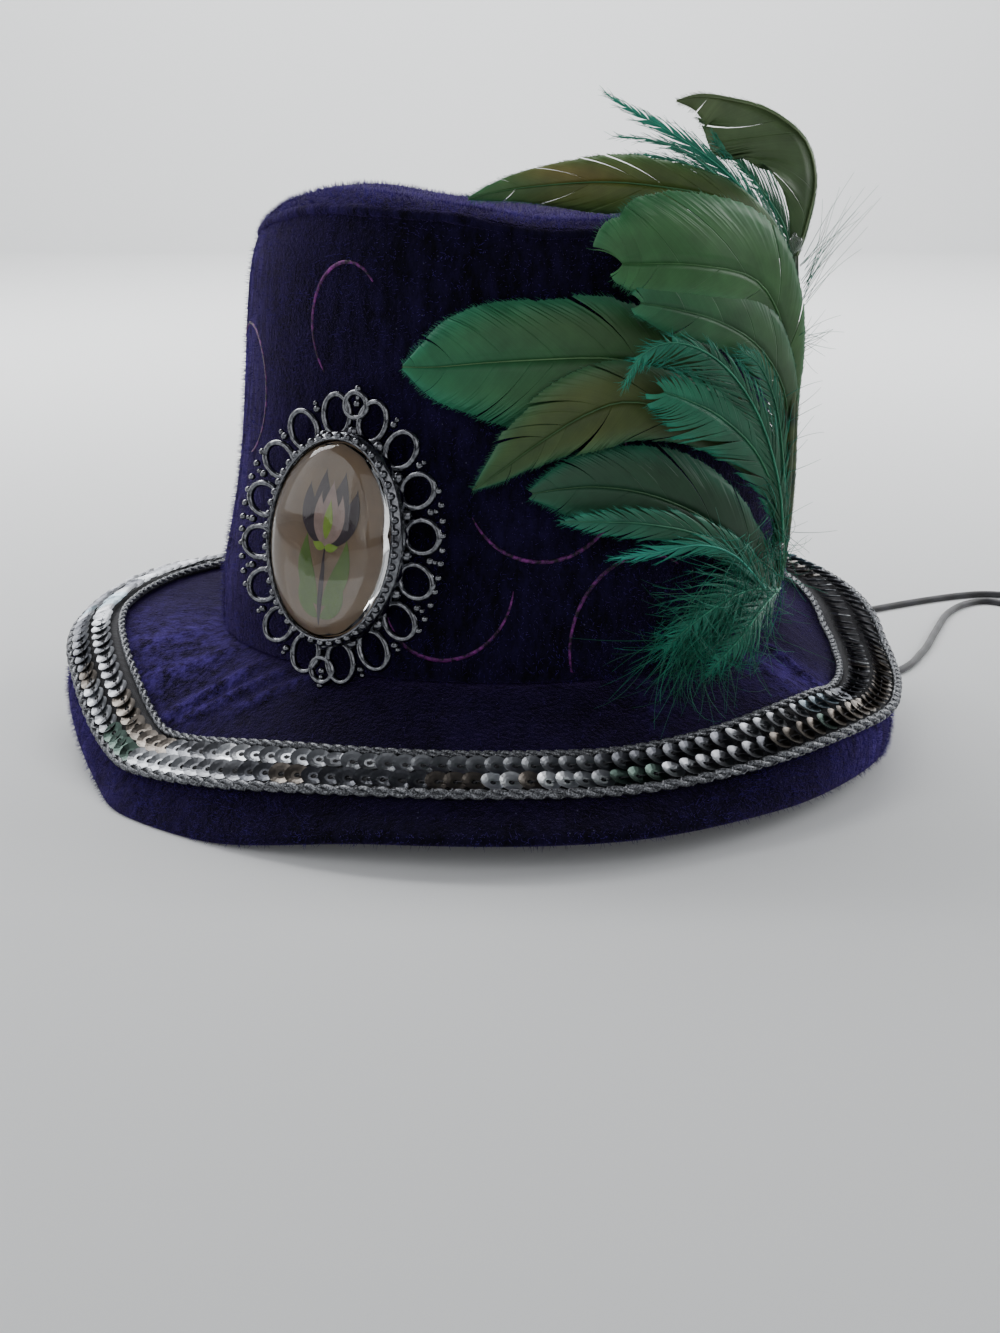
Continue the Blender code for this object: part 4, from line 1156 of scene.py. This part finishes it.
for name, colour, petals in INKS:
    points = []
    faces = []
    for (x, y), aim, bend, long, half, layer in petals:
        start = len(points)
        at = Vector((x * MM, y * MM, CARD_UP + CARD_T + layer * LAYER_T))
        for i in range(PETAL_STEPS + 1):
            share = i / PETAL_STEPS
            angle = math.radians(aim + bend * share)
            ahead = Vector((math.cos(angle), math.sin(angle), 0.0))
            swell = math.sin(math.pi * min(0.995, share ** 0.8 + 0.02))
            across = Vector((-ahead.y, ahead.x, 0.0)) * half * MM * swell
            points += [at + across, at - across, at - across + ink_top, at + across + ink_top]
            at = at + ahead * long * MM / PETAL_STEPS
        faces += ring_faces(start, PETAL_STEPS + 1, 4, closed=False)
        faces += [tuple(start + k for k in (0, 3, 2, 1)),
                  tuple(len(points) - 4 + k for k in range(4))]
    ink = bare_material("offset ink, " + name.split("_")[1])
    place = add(ink, "ShaderNodeTexCoord")
    tooth = add(ink, "ShaderNodeTexNoise", {"Scale": 1 / (1.2 * MM), "Detail": 4.0},
                {"Vector": (place, "Object")})
    strength = add(ink, "ShaderNodeMapRange", {"To Min": 0.7, "To Max": 1.35},
                   {"Value": (tooth, 0)})
    dab = add(ink, "ShaderNodeHueSaturation", {"Color": linear(colour)},
              {"Value": (strength, "Result")})
    surface(ink, {"Roughness": 0.55}, {"Base Color": (dab, "Color")})
    printed = mesh_piece(name, [PINNED @ p for p in points], faces, ink, smooth=False)
    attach(printed, "root")

# Cabochon. A clear 40 by 30 mm dome of pressed soda glass, polished. It mirrors the
# room so weakly that the print shows clearly through it.
glass_dome = merged_copy("brooch_cabochon", "glass_dome", 2)
soda_glass = bare_material("pressed soda glass, clear")
surface(soda_glass, {"Base Color": linear("#fbfcfb"), "Roughness": 0.015, "IOR": 1.5,
                     "Transmission Weight": 1.0, "Specular IOR Level": 0.05})
glass_dome.data.materials.append(soda_glass)
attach(glass_dome, "root")
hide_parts("brooch_cabochon")

# Plume. Dyed cock and goose feathers glued to one bunch of quills at the side
# of the crown. Each has a thin shaft with a broad smooth vane on both sides: fine
# barbs that sweep to the tip, lie close, and part in clumps at the margin. The
# shafts are traced over the photograph, in its pixels, and laid round the crown.
PHOTO_WIDE = 1000.0
PHOTO_HIGH = 1333.0
FEATHERS = {
    # across and down in the photograph, radius as a share of the crown's foot, then the
    # vane's reach in pixels on its outer and on its inner side
    "gold_patch": (
        (789, 262, 1.000, 8, 8), (765, 228, 0.990, 14, 12), (722, 199, 0.940, 19, 12),
        (655, 186, 0.780, 25, 22), (597, 182, 0.680, 23, 27), (530, 187, 0.640, 15, 14),
        (492, 193, 0.640, 8, 7), (468, 199, 0.640, 1, 1)),
    "tall_olive": (
        (794, 262, 0.960, 3, 6), (806, 225, 0.900, 4, 18), (815, 180, 0.820, 3, 44),
        (804, 139, 0.740, 3, 52), (768, 111, 0.680, 3, 48), (728, 100, 0.640, 3, 46),
        (700, 97, 0.620, 3, 16), (676, 100, 0.600, 0, 1)),
    "inner_fan": (
        (794, 262, 0.960, 5, 4), (782, 222, 0.900, 20, 6), (760, 188, 0.840, 24, 5),
        (735, 160, 0.780, 18, 3), (714, 140, 0.740, 4, 1)),
    "wispy_teal": (
        (792, 262, 1.010, 8, 6), (768, 218, 0.970, 13, 12), (738, 184, 0.880, 13, 13),
        (706, 156, 0.780, 10, 11), (668, 131, 0.680, 8, 8), (634, 112, 0.600, 5, 5),
        (604, 92, 0.540, 0, 0)),
    "wisp_middle": (
        (752, 205, 0.950, 5, 5), (718, 177, 0.840, 5, 5), (690, 155, 0.760, 4, 4),
        (655, 141, 0.680, 3, 3), (612, 136, 0.620, 0, 0)),
    "wisp_lower": (
        (752, 210, 0.960, 5, 5), (722, 187, 0.860, 5, 4), (692, 166, 0.780, 4, 4),
        (658, 157, 0.700, 3, 3), (630, 154, 0.660, 0, 0)),
    "lower_wide": (
        (779, 575, 1.060, 8, 4), (762, 562, 1.080, 20, 10), (732, 538, 1.080, 34, 18),
        (693, 512, 1.060, 44, 28), (647, 494, 1.045, 44, 32), (600, 487, 1.035, 34, 30),
        (562, 489, 1.030, 22, 22), (532, 494, 1.030, 5, 6)),
    "brown_left": (
        (782, 508, 1.050, 6, 4), (752, 462, 1.060, 18, 14), (700, 420, 1.040, 30, 24),
        (633, 402, 1.020, 34, 36), (587, 414, 1.018, 36, 36), (535, 446, 1.018, 30, 20),
        (498, 473, 1.020, 15, 10), (472, 490, 1.020, 0, 1)),
    "long_left": (
        (784, 480, 1.045, 6, 6), (756, 432, 1.045, 18, 18), (706, 388, 1.010, 36, 34),
        (647, 366, 0.985, 50, 46), (600, 358, 0.972, 55, 54), (533, 360, 0.968, 55, 62),
        (483, 363, 0.970, 52, 52), (437, 367, 0.980, 35, 33), (402, 367, 0.995, 1, 2)),
    "broad_second": (
        (780, 556, 1.075, 6, 4), (787, 490, 1.080, 8, 8), (788, 430, 1.085, 11, 14),
        (782, 385, 1.085, 22, 18), (757, 345, 1.075, 38, 24), (718, 321, 1.060, 40, 22),
        (676, 309, 1.050, 34, 24), (640, 303, 1.045, 14, 12)),
    "broad_upper": (
        (784, 556, 1.080, 5, 3), (790, 480, 1.085, 7, 7), (790, 410, 1.090, 11, 12),
        (786, 345, 1.090, 24, 16), (772, 300, 1.085, 40, 24), (745, 274, 1.070, 58, 28),
        (685, 264, 1.050, 63, 28), (640, 264, 1.035, 58, 26), (622, 264, 1.030, 42, 18)),
    "teal_body": (
        (779, 560, 1.100, 5, 4), (778, 505, 1.110, 8, 12), (756, 452, 1.110, 22, 24),
        (722, 418, 1.105, 32, 34), (690, 401, 1.100, 30, 36), (664, 392, 1.096, 12, 20)),
    "curled_teal": (
        (783, 560, 1.110, 5, 5), (780, 490, 1.125, 8, 14), (762, 423, 1.125, 14, 26),
        (733, 375, 1.120, 12, 30), (700, 349, 1.115, 8, 28), (667, 343, 1.110, 5, 20),
        (640, 357, 1.108, 3, 10), (622, 388, 1.106, 0, 1)),
    "side_down": (
        (782, 580, 1.110, 4, 4), (784, 520, 1.120, 5, 12), (783, 460, 1.125, 6, 18),
        (776, 405, 1.120, 8, 22), (760, 366, 1.110, 8, 18), (740, 350, 1.100, 2, 4)),
    "lower_teal": (
        (772, 592, 1.110, 6, 6), (745, 562, 1.120, 14, 12), (700, 535, 1.112, 16, 16),
        (647, 524, 1.105, 14, 16), (602, 522, 1.100, 10, 12), (560, 522, 1.096, 1, 1)),
    "teal_wisp": (
        (765, 588, 1.130, 6, 6), (735, 556, 1.135, 9, 8), (700, 545, 1.128, 9, 9),
        (655, 553, 1.120, 7, 8), (610, 559, 1.115, 0, 0)),
    "down_left": (
        (778, 590, 1.100, 8, 8), (750, 590, 1.140, 26, 22), (720, 604, 1.160, 34, 26),
        (690, 626, 1.150, 26, 18), (664, 650, 1.130, 3, 3)),
    "down_right": (
        (780, 588, 1.090, 6, 6), (762, 608, 1.160, 20, 16), (742, 636, 1.190, 26, 20),
        (722, 658, 1.180, 16, 12), (706, 676, 1.160, 2, 2)),
}
# Dye of each feather at its foot, middle and tip, then how far its barbs sweep
# on as a share of their reach, how many there are on a side, how frizzy it is and
# how much teal its margin takes.
DYES = {
    "gold_patch": (("#33532b", "#5c7034", "#458050"), 2.2, 300, 0.03, 0.25),
    "tall_olive": (("#3a5430", "#587048", "#667650"), 1.5, 260, 0.03, 0.00),
    "inner_fan": (("#2c6a48", "#3c8060", "#48a080"), 2.4, 150, 0.42, 0.60),
    "wispy_teal": (("#1e5c44", "#258a70", "#2cb89c"), 4.0, 110, 0.42, 0.90),
    "wisp_middle": (("#2a6a4c", "#3a806a", "#3aa890"), 5.0, 60, 0.50, 0.80),
    "wisp_lower": (("#2a6a4c", "#3a806a", "#3aa890"), 5.0, 60, 0.50, 0.80),
    "lower_wide": (("#1f3f28", "#264a32", "#275a40"), 1.5, 320, 0.05, 0.30),
    "brown_left": (("#2a3c20", "#4e5c2c", "#35603a"), 1.9, 300, 0.08, 0.35),
    "long_left": (("#3a4220", "#386238", "#2c8058"), 1.3, 420, 0.04, 0.50),
    "broad_second": (("#3c4a2a", "#386038", "#33704a"), 1.3, 320, 0.03, 0.25),
    "broad_upper": (("#40522e", "#3c683a", "#3f7846"), 1.2, 380, 0.03, 0.20),
    "teal_body": (("#26563a", "#26664a", "#248060"), 1.6, 260, 0.16, 0.70),
    "curled_teal": (("#26563a", "#1f664a", "#24967a"), 2.6, 200, 0.36, 0.95),
    "side_down": (("#2a583a", "#266044", "#268064"), 2.6, 160, 0.35, 0.60),
    "lower_teal": (("#225036", "#265e44", "#2a8066"), 2.0, 220, 0.16, 0.60),
    "teal_wisp": (("#226048", "#1f8068", "#2ab8a4"), 3.6, 90, 0.45, 1.00),
    "down_left": (("#1c6050", "#1a7058", "#24a084"), 1.9, 110, 0.90, 0.70),
    "down_right": (("#1c6050", "#1a7058", "#24a084"), 1.9, 100, 0.90, 0.70),
}
GOLD_SPOT = (0.58, 0.10, "#81763c")   # where along its shaft, how long, dye
BARB_STEPS = 6
BARBS_FROM = 0.01            # where along the shaft the barbs start, and how far on they go
BARBS_SPAN = 0.985
CLUMPS = (
    # up to this frizz, the fewest and the most barbs that lie together
    (0.1, 14, 60), (0.3, 4, 14), (1.0, 1, 5),
)
VANE_T = 0.05 * MM
VANE_SEEN = 0.92             # share of a vane's width that shows, as it is turned a little
VANE_DROOP = -0.14           # of a barb's margin, as a share of its reach
TIP_REACH = 0.55             # how far the last barbs go on past the end of the shaft
BARB_RELIEF = 0.014 * MM
SHAFT_R = 0.26 * MM
SHAFT_TAPER = 0.20 * MM
SHAFT_STEPS = 24
FACED = Vector((0.0, -1.3, 0.25))   # added to the way out, so that the vanes face the front
FOCUS = LENS / SENSOR_WIDE * PHOTO_HIGH
EDGE_TEAL = "#1c9a80"

# Feather barbs: dyed keratin, satin, a little uneven where the dye took badly.
dyed_feather = bare_material("dyed feather barbs, green")
dye_layer = add(dyed_feather, "ShaderNodeVertexColor", layer_name="tint")
place = add(dyed_feather, "ShaderNodeTexCoord")
streak = add(dyed_feather, "ShaderNodeTexNoise", {"Scale": 1 / (5.0 * MM), "Detail": 4.0},
             {"Vector": (place, "Object")})
streak_value = add(dyed_feather, "ShaderNodeMapRange", {"To Min": 0.45, "To Max": 1.10},
                   {"Value": (streak, 0)})
uneven = add(dyed_feather, "ShaderNodeHueSaturation", {},
             {"Color": (dye_layer, "Color"), "Value": (streak_value, "Result")})
surface(dyed_feather, {"Roughness": 0.46, "Specular IOR Level": 0.35},
        {"Base Color": (uneven, "Color")})


def mixed(a, b, t):
    """A colour between two others."""
    return [p + (q - p) * t for p, q in zip(a, b)]


def traced(across, down, radius):
    """The point seen at a pixel of the photograph, on the near side of a round
    wall of some radius, or a little in front of its edge."""
    ray = Matrix.Rotation(math.radians(90 - CAMERA_DOWN), 3, "X") @ Vector((
        (across - PHOTO_WIDE / 2) / FOCUS, (PHOTO_HIGH / 2 - down) / FOCUS, -1.0))
    eye = Vector((HAT_AXIS.x, HAT_AXIS.y - CAMERA_BACK, CAMERA_UP))
    wall_r = radius * SEAM_R
    y = HAT_AXIS.y - 0.5 * wall_r
    for turn in range(8):
        at = eye + ray * ((y - eye.y) / ray.y)
        y = HAT_AXIS.y - math.sqrt(max(wall_r ** 2 - (at.x - HAT_AXIS.x) ** 2,
                                       (0.30 * wall_r) ** 2))
    return at


def feather(name, table, dyes, sweep, barbs, frizz, teal, seed):
    """One feather: its shaft, and a vane of close barbs on both sides."""
    chance = random.Random(seed)
    rows = [np.array(row, dtype=float) for row in table]
    colours = [linear(c)[:3] for c in dyes]
    edge = linear(EDGE_TEAL)[:3]
    gold = linear(GOLD_SPOT[2])[:3]
    steps = 80
    spine = []
    reaches = {1: [], -1: []}
    outs = []
    for i in range(steps + 1):
        across, down, radius, outer, inner = through(rows, i / steps * (len(rows) - 1))
        at = traced(across, down, radius)
        outward = at - HAT_AXIS
        outward.z = 0.0
        faced = (outward.normalized() + FACED).normalized()
        apart = (at.y - HAT_AXIS.y + CAMERA_BACK) / FOCUS
        spine.append(at)
        outs.append(faced)
        reaches[1].append(max(0.15, outer) * apart / VANE_SEEN)
        reaches[-1].append(max(0.15, inner) * apart / VANE_SEEN)
    aheads = [(spine[min(i + 1, steps)] - spine[max(i - 1, 0)]).normalized()
              for i in range(steps + 1)]
    wides = [a.cross(f).normalized() for a, f in zip(aheads, outs)]
    thicks = [w.cross(a).normalized() for w, a in zip(wides, aheads)]
    long = sum((b - a).length for a, b in zip(spine[:-1], spine[1:]))

    def lookup(values, t):
        """Value at a share of the shaft's length."""
        spot = max(0.0, min(1.0, t)) * steps
        i = min(int(spot), steps - 1)
        return values[i] * (1 - spot + i) + values[i + 1] * (spot - i)

    def barb(t0, side, shift, lift, wild):
        """Points of one barb from the shaft to the margin, and its way off the vane."""
        halves = reaches[side]
        reach = lookup(halves, t0 + 0.5 * sweep * lookup(halves, t0) / long)
        t1 = t0 + sweep * reach / long + shift
        past = max(0.0, t1 - 1.0)
        round_off = math.sqrt(max(0.0, 1 - min(1.0, past * long / (sweep * reach + 1e-6)) ** 2))
        thick = lookup(thicks, t0)
        foot = lookup(spine, t0)
        end = lookup(spine, t1) + aheads[-1] * past * long * TIP_REACH
        end += lookup(wides, t1) * side * lookup(halves, t1) * round_off * (1 + wild)
        end += thick * reach * (VANE_DROOP + lift)
        middle_t = t0 + 0.42 * (t1 - t0)
        bow = side * min(reach, lookup(halves, middle_t)) * 0.60 * (0.25 + 0.75 * round_off)
        middle = lookup(spine, middle_t) + lookup(wides, middle_t) * bow
        middle += aheads[-1] * max(0.0, middle_t - 1.0) * long * TIP_REACH + thick * reach * 0.05
        line = [foot * (1 - u) ** 2 + middle * 2 * u * (1 - u) + end * u ** 2
                for u in [j / BARB_STEPS for j in range(BARB_STEPS + 1)]]
        return line, thick

    points = []
    faces = []
    tints = []
    small, large = next((few, many) for limit, few, many in CLUMPS if frizz < limit)
    for side in (-1, 1):
        k = 0
        while k < barbs:
            size = min(chance.randint(small, large), barbs - k)
            shift = chance.gauss(0, 0.0005 + 0.05 * frizz)
            shift *= min(1.0, 3 * (1 - k / barbs))
            lift = chance.gauss(0, 0.22 * frizz)
            wild = chance.gauss(0, 0.015 + 0.30 * frizz)
            glow = chance.uniform(0.90, 1.10)
            made = [barb(BARBS_FROM + BARBS_SPAN * (k + i) / barbs, side, shift, lift,
                         wild + chance.gauss(0, 0.012)) for i in range(size + 1)]
            gather = 0.9 / size if frizz < 0.1 else 0.10 + 0.9 * min(1.0, frizz * 2)
            core = made[len(made) // 2][0]
            start = len(points)
            across = BARB_STEPS + 1
            for layer in (1, -1):
                for i, (line, thick) in enumerate(made):
                    t = BARBS_FROM + BARBS_SPAN * (k + i) / barbs
                    body = mixed(colours[0], colours[1], min(1.0, t / 0.5))
                    if t > 0.5:
                        body = mixed(colours[1], colours[2], (t - 0.5) / 0.5)
                    if name == "gold_patch":
                        near = hump(t, GOLD_SPOT[0], GOLD_SPOT[1]) * (0.9 if side > 0 else 0.35)
                        body = mixed(body, gold, near)
                    own = glow * (1 + 0.10 * (i % 2)) * chance.uniform(0.94, 1.06)
                    for j, at in enumerate(line):
                        u = j / BARB_STEPS
                        relief = (BARB_RELIEF * (i % 2) + VANE_T * (1 - 0.6 * u)) * layer
                        points.append(at.lerp(core[j], gather * u ** 2) + thick * relief)
                        colour = mixed(body, edge, teal * max(0.0, u - 0.55) ** 1.3 * 1.8)
                        tints.append([min(1.0, c * own * (0.82 + 0.3 * u)) for c in colour] + [1.0])
            under = start + len(made) * across
            for i in range(size):
                for j in range(BARB_STEPS):
                    a = i * across + j
                    quad = (a, a + 1, a + across + 1, a + across)
                    quad = quad if side < 0 else quad[::-1]
                    faces.append(tuple(start + q for q in quad))
                    faces.append(tuple(under + q for q in quad[::-1]))
            rim = list(range(across)) + [i * across + BARB_STEPS for i in range(1, size + 1)]
            rim += [size * across + j for j in range(BARB_STEPS - 1, -1, -1)]
            rim += [i * across for i in range(size - 1, 0, -1)]
            rim = rim if side > 0 else rim[::-1]
            for a, b in zip(rim, rim[1:] + rim[:1]):
                faces.append((start + a, start + b, under + b, under + a))
            for i in range(0, size, 2 if frizz < 0.3 else 1):
                line = made[i][0]
                way = (line[-1] - line[-2]).normalized()
                way = (way + Vector([chance.gauss(0, 0.10 + 0.25 * frizz)
                                     for axis in range(3)])).normalized()
                hair = chance.uniform(0.5, 1.6 + 3.0 * frizz) * MM
                before = len(points)
                foot = line[-1].lerp(core[-1], gather) - way * 0.3 * MM
                tube(points, faces, [foot, foot + way * hair * 0.6, foot + way * hair],
                     [0.05 * MM, 0.04 * MM, 0.012 * MM], 3)
                tints += [[*mixed(body, edge, 0.15 + teal * 0.6), 1.0]] * (len(points) - before)
            k += size
    before = len(points)
    shares = [i / SHAFT_STEPS for i in range(SHAFT_STEPS + 1)]
    shaft = [lookup(spine, share) + lookup(thicks, share) * 0.10 * MM for share in shares]
    tube(points, faces, shaft, [SHAFT_R - SHAFT_TAPER * share for share in shares], 6)
    pale = mixed(linear("#6f8a5a")[:3], colours[2], 0.35 if name == "long_left" else 0.75)
    tints += [[*pale, 1.0]] * (len(points) - before)
    piece = mesh_piece("feather_" + name, points, faces, dyed_feather)
    tint(piece, tints)
    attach(piece, "root")
    return piece


for seed, (name, table) in enumerate(FEATHERS.items()):
    dyes, sweep, barbs, frizz, teal = DYES[name]
    made = feather(name, table, dyes, sweep, barbs, frizz, teal, 40 + seed)
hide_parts("plume")

# Quills. The bare ends of the feathers, bound and glued in one bunch that runs
# down behind their shafts to the foot of the crown.
QUILL_R = 2.3 * MM
QUILL_STEPS = 24
QUILL_TWIST = 0.9            # radians from the foot of the bunch to its top
QUILLS = (
    # across and down in the photograph, radius as a share of the crown's foot, thickness
    (774, 592, 1.050, 0.50), (780, 545, 1.075, 0.80), (785, 490, 1.082, 0.90),
    (788, 420, 1.082, 0.90), (790, 350, 1.065, 0.80), (792, 300, 1.025, 0.70),
    (794, 256, 0.980, 0.45),
)
quill_rows = [Vector(row) for row in QUILLS]
points = []
faces = []
for strand in range(7):                 # six round one
    turn = 2 * math.pi * strand / 6
    path = []
    radii = []
    for i in range(QUILL_STEPS + 1):
        across, down, radius, thick = through(quill_rows, i / QUILL_STEPS * (len(quill_rows) - 1))
        spread = QUILL_R * thick * (0.0 if strand == 6 else 0.62)
        at = traced(across, down, radius)
        ray = Vector((at.x - HAT_AXIS.x, at.y - HAT_AXIS.y, 0.0)).normalized() * spread
        around = Vector((-ray.y, ray.x, 0.0))
        twist = turn + QUILL_TWIST * i / QUILL_STEPS
        path.append(at + ray * math.cos(twist) + around * math.sin(twist))
        radii.append(QUILL_R * thick * 0.38)
    tube(points, faces, path, radii, 8)
quill_horn = bare_material("feather quill, dyed olive")
place = add(quill_horn, "ShaderNodeTexCoord")
horn = add(quill_horn, "ShaderNodeTexNoise", {"Scale": 1 / (4 * MM), "Detail": 4.0},
           {"Vector": (place, "Object")})
horn_tone = add(quill_horn, "ShaderNodeValToRGB", links={"Fac": (horn, 0)},
                stops=((0.35, "#16301f"), (0.7, "#4a5a34")))
surface(quill_horn, {"Roughness": 0.4}, {"Base Color": (horn_tone, "Color")})
quills = mesh_piece("quill_bunch", points, faces, quill_horn)
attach(quills, "root")

# Down. Loose curled fluff at the foot of the plume, and a few long stray barbs
# that stand off its right side.
FLUFF_STEPS = 8
FLUFF_LOWEST = 0.62 * SEAM_H
FLUFF = (
    # how many, middle across and down, spread across and down, radius, way to go in the
    # picture, shortest and longest in mm, curl
    (240, 734, 606, 44, 34, 1.150, (-0.45, -0.75), (8, 24), 0.7),
    (170, 752, 575, 24, 40, 1.140, (-0.30, -0.75), (8, 18), 0.8),
    (120, 700, 640, 34, 16, 1.150, (-0.55, -0.70), (10, 24), 0.8),
    (70, 776, 540, 12, 50, 1.120, (-0.05, -0.60), (6, 13), 0.8),
    (26, 804, 285, 5, 30, 1.080, (0.55, 0.95), (9, 24), 0.12),
    (16, 798, 345, 5, 14, 1.090, (0.80, 0.35), (5, 11), 0.35),
    (14, 788, 450, 4, 40, 1.100, (0.60, 0.70), (5, 10), 0.40),
)
chance = random.Random(77)
points = []
faces = []
tints = []
for count, seen_x, seen_y, wide, high, radius, (across, up), (short, tall), curl in FLUFF:
    for i in range(count):
        at = traced(seen_x + chance.gauss(0, 0.5) * wide, seen_y + chance.gauss(0, 0.5) * high,
                    radius + chance.uniform(-0.04, 0.03))
        loose = 0.15 if curl < 0.2 else 0.42
        way = Vector((across + chance.gauss(0, loose), chance.gauss(-0.15, loose),
                      up + chance.gauss(0, loose))).normalized()
        spin_axis = Vector((chance.gauss(0, 1), chance.gauss(0, 1),
                            chance.gauss(0, 1))).normalized()
        long = chance.uniform(short, tall) * MM
        turn = Matrix.Rotation(chance.gauss(0, 1) * curl * 2.2 / FLUFF_STEPS, 3, spin_axis)
        path = [at]
        for j in range(FLUFF_STEPS):
            way = turn @ way
            on = path[-1] + way * long / FLUFF_STEPS
            if on.z < FLUFF_LOWEST:
                way.z = abs(way.z) * 0.2
                on.z = FLUFF_LOWEST + chance.uniform(0, 1.5) * MM
            path.append(on)
        before = len(points)
        radii = [(0.085 - 0.055 * j / FLUFF_STEPS) * MM for j in range(FLUFF_STEPS + 1)]
        tube(points, faces, path, radii, 3)
        body = mixed(linear("#12604a")[:3], linear("#1c9478")[:3], chance.random() ** 1.5)
        tints += [[*body, 1.0]] * (len(points) - before)
fluff = mesh_piece("plume_fluff", points, faces, dyed_feather)
tint(fluff, tints)
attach(fluff, "root")

# Glue. Two clear blobs of hot glue where the quills are fixed.
GLUE = (
    # across and down in the photograph, radius as a share of the crown's foot, size in mm
    (796, 243, 1.000, 1.9), (779, 548, 1.110, 1.6),
)
clear_glue = bare_material("hot melt glue, clear")
surface(clear_glue, {"Base Color": linear("#e8f2ea"), "Roughness": 0.12, "IOR": 1.48,
                     "Transmission Weight": 0.85})
for i, (across, down, radius, size) in enumerate(GLUE):
    middle = traced(across, down, radius)
    bpy.ops.object.select_all(action="DESELECT")
    bpy.ops.mesh.primitive_uv_sphere_add(segments=24, ring_count=14, radius=size * MM,
                                         location=middle)
    blob = bpy.context.object
    blob.name = "glue_blob_%d" % i
    bpy.ops.object.transform_apply(location=True)
    for vertex in blob.data.vertices:
        off = vertex.co - middle
        lump = 1 + 0.25 * math.sin(off.x * 1900 + i) * math.cos(off.z * 1500)
        lump += 0.12 * math.sin(off.z * 3100)
        vertex.co = middle + Vector((off.x * 0.75, off.y * 0.6, off.z * 1.1)) * lump
    bpy.ops.object.shade_smooth()
    blob.data.materials.append(clear_glue)
    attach(blob, "root")
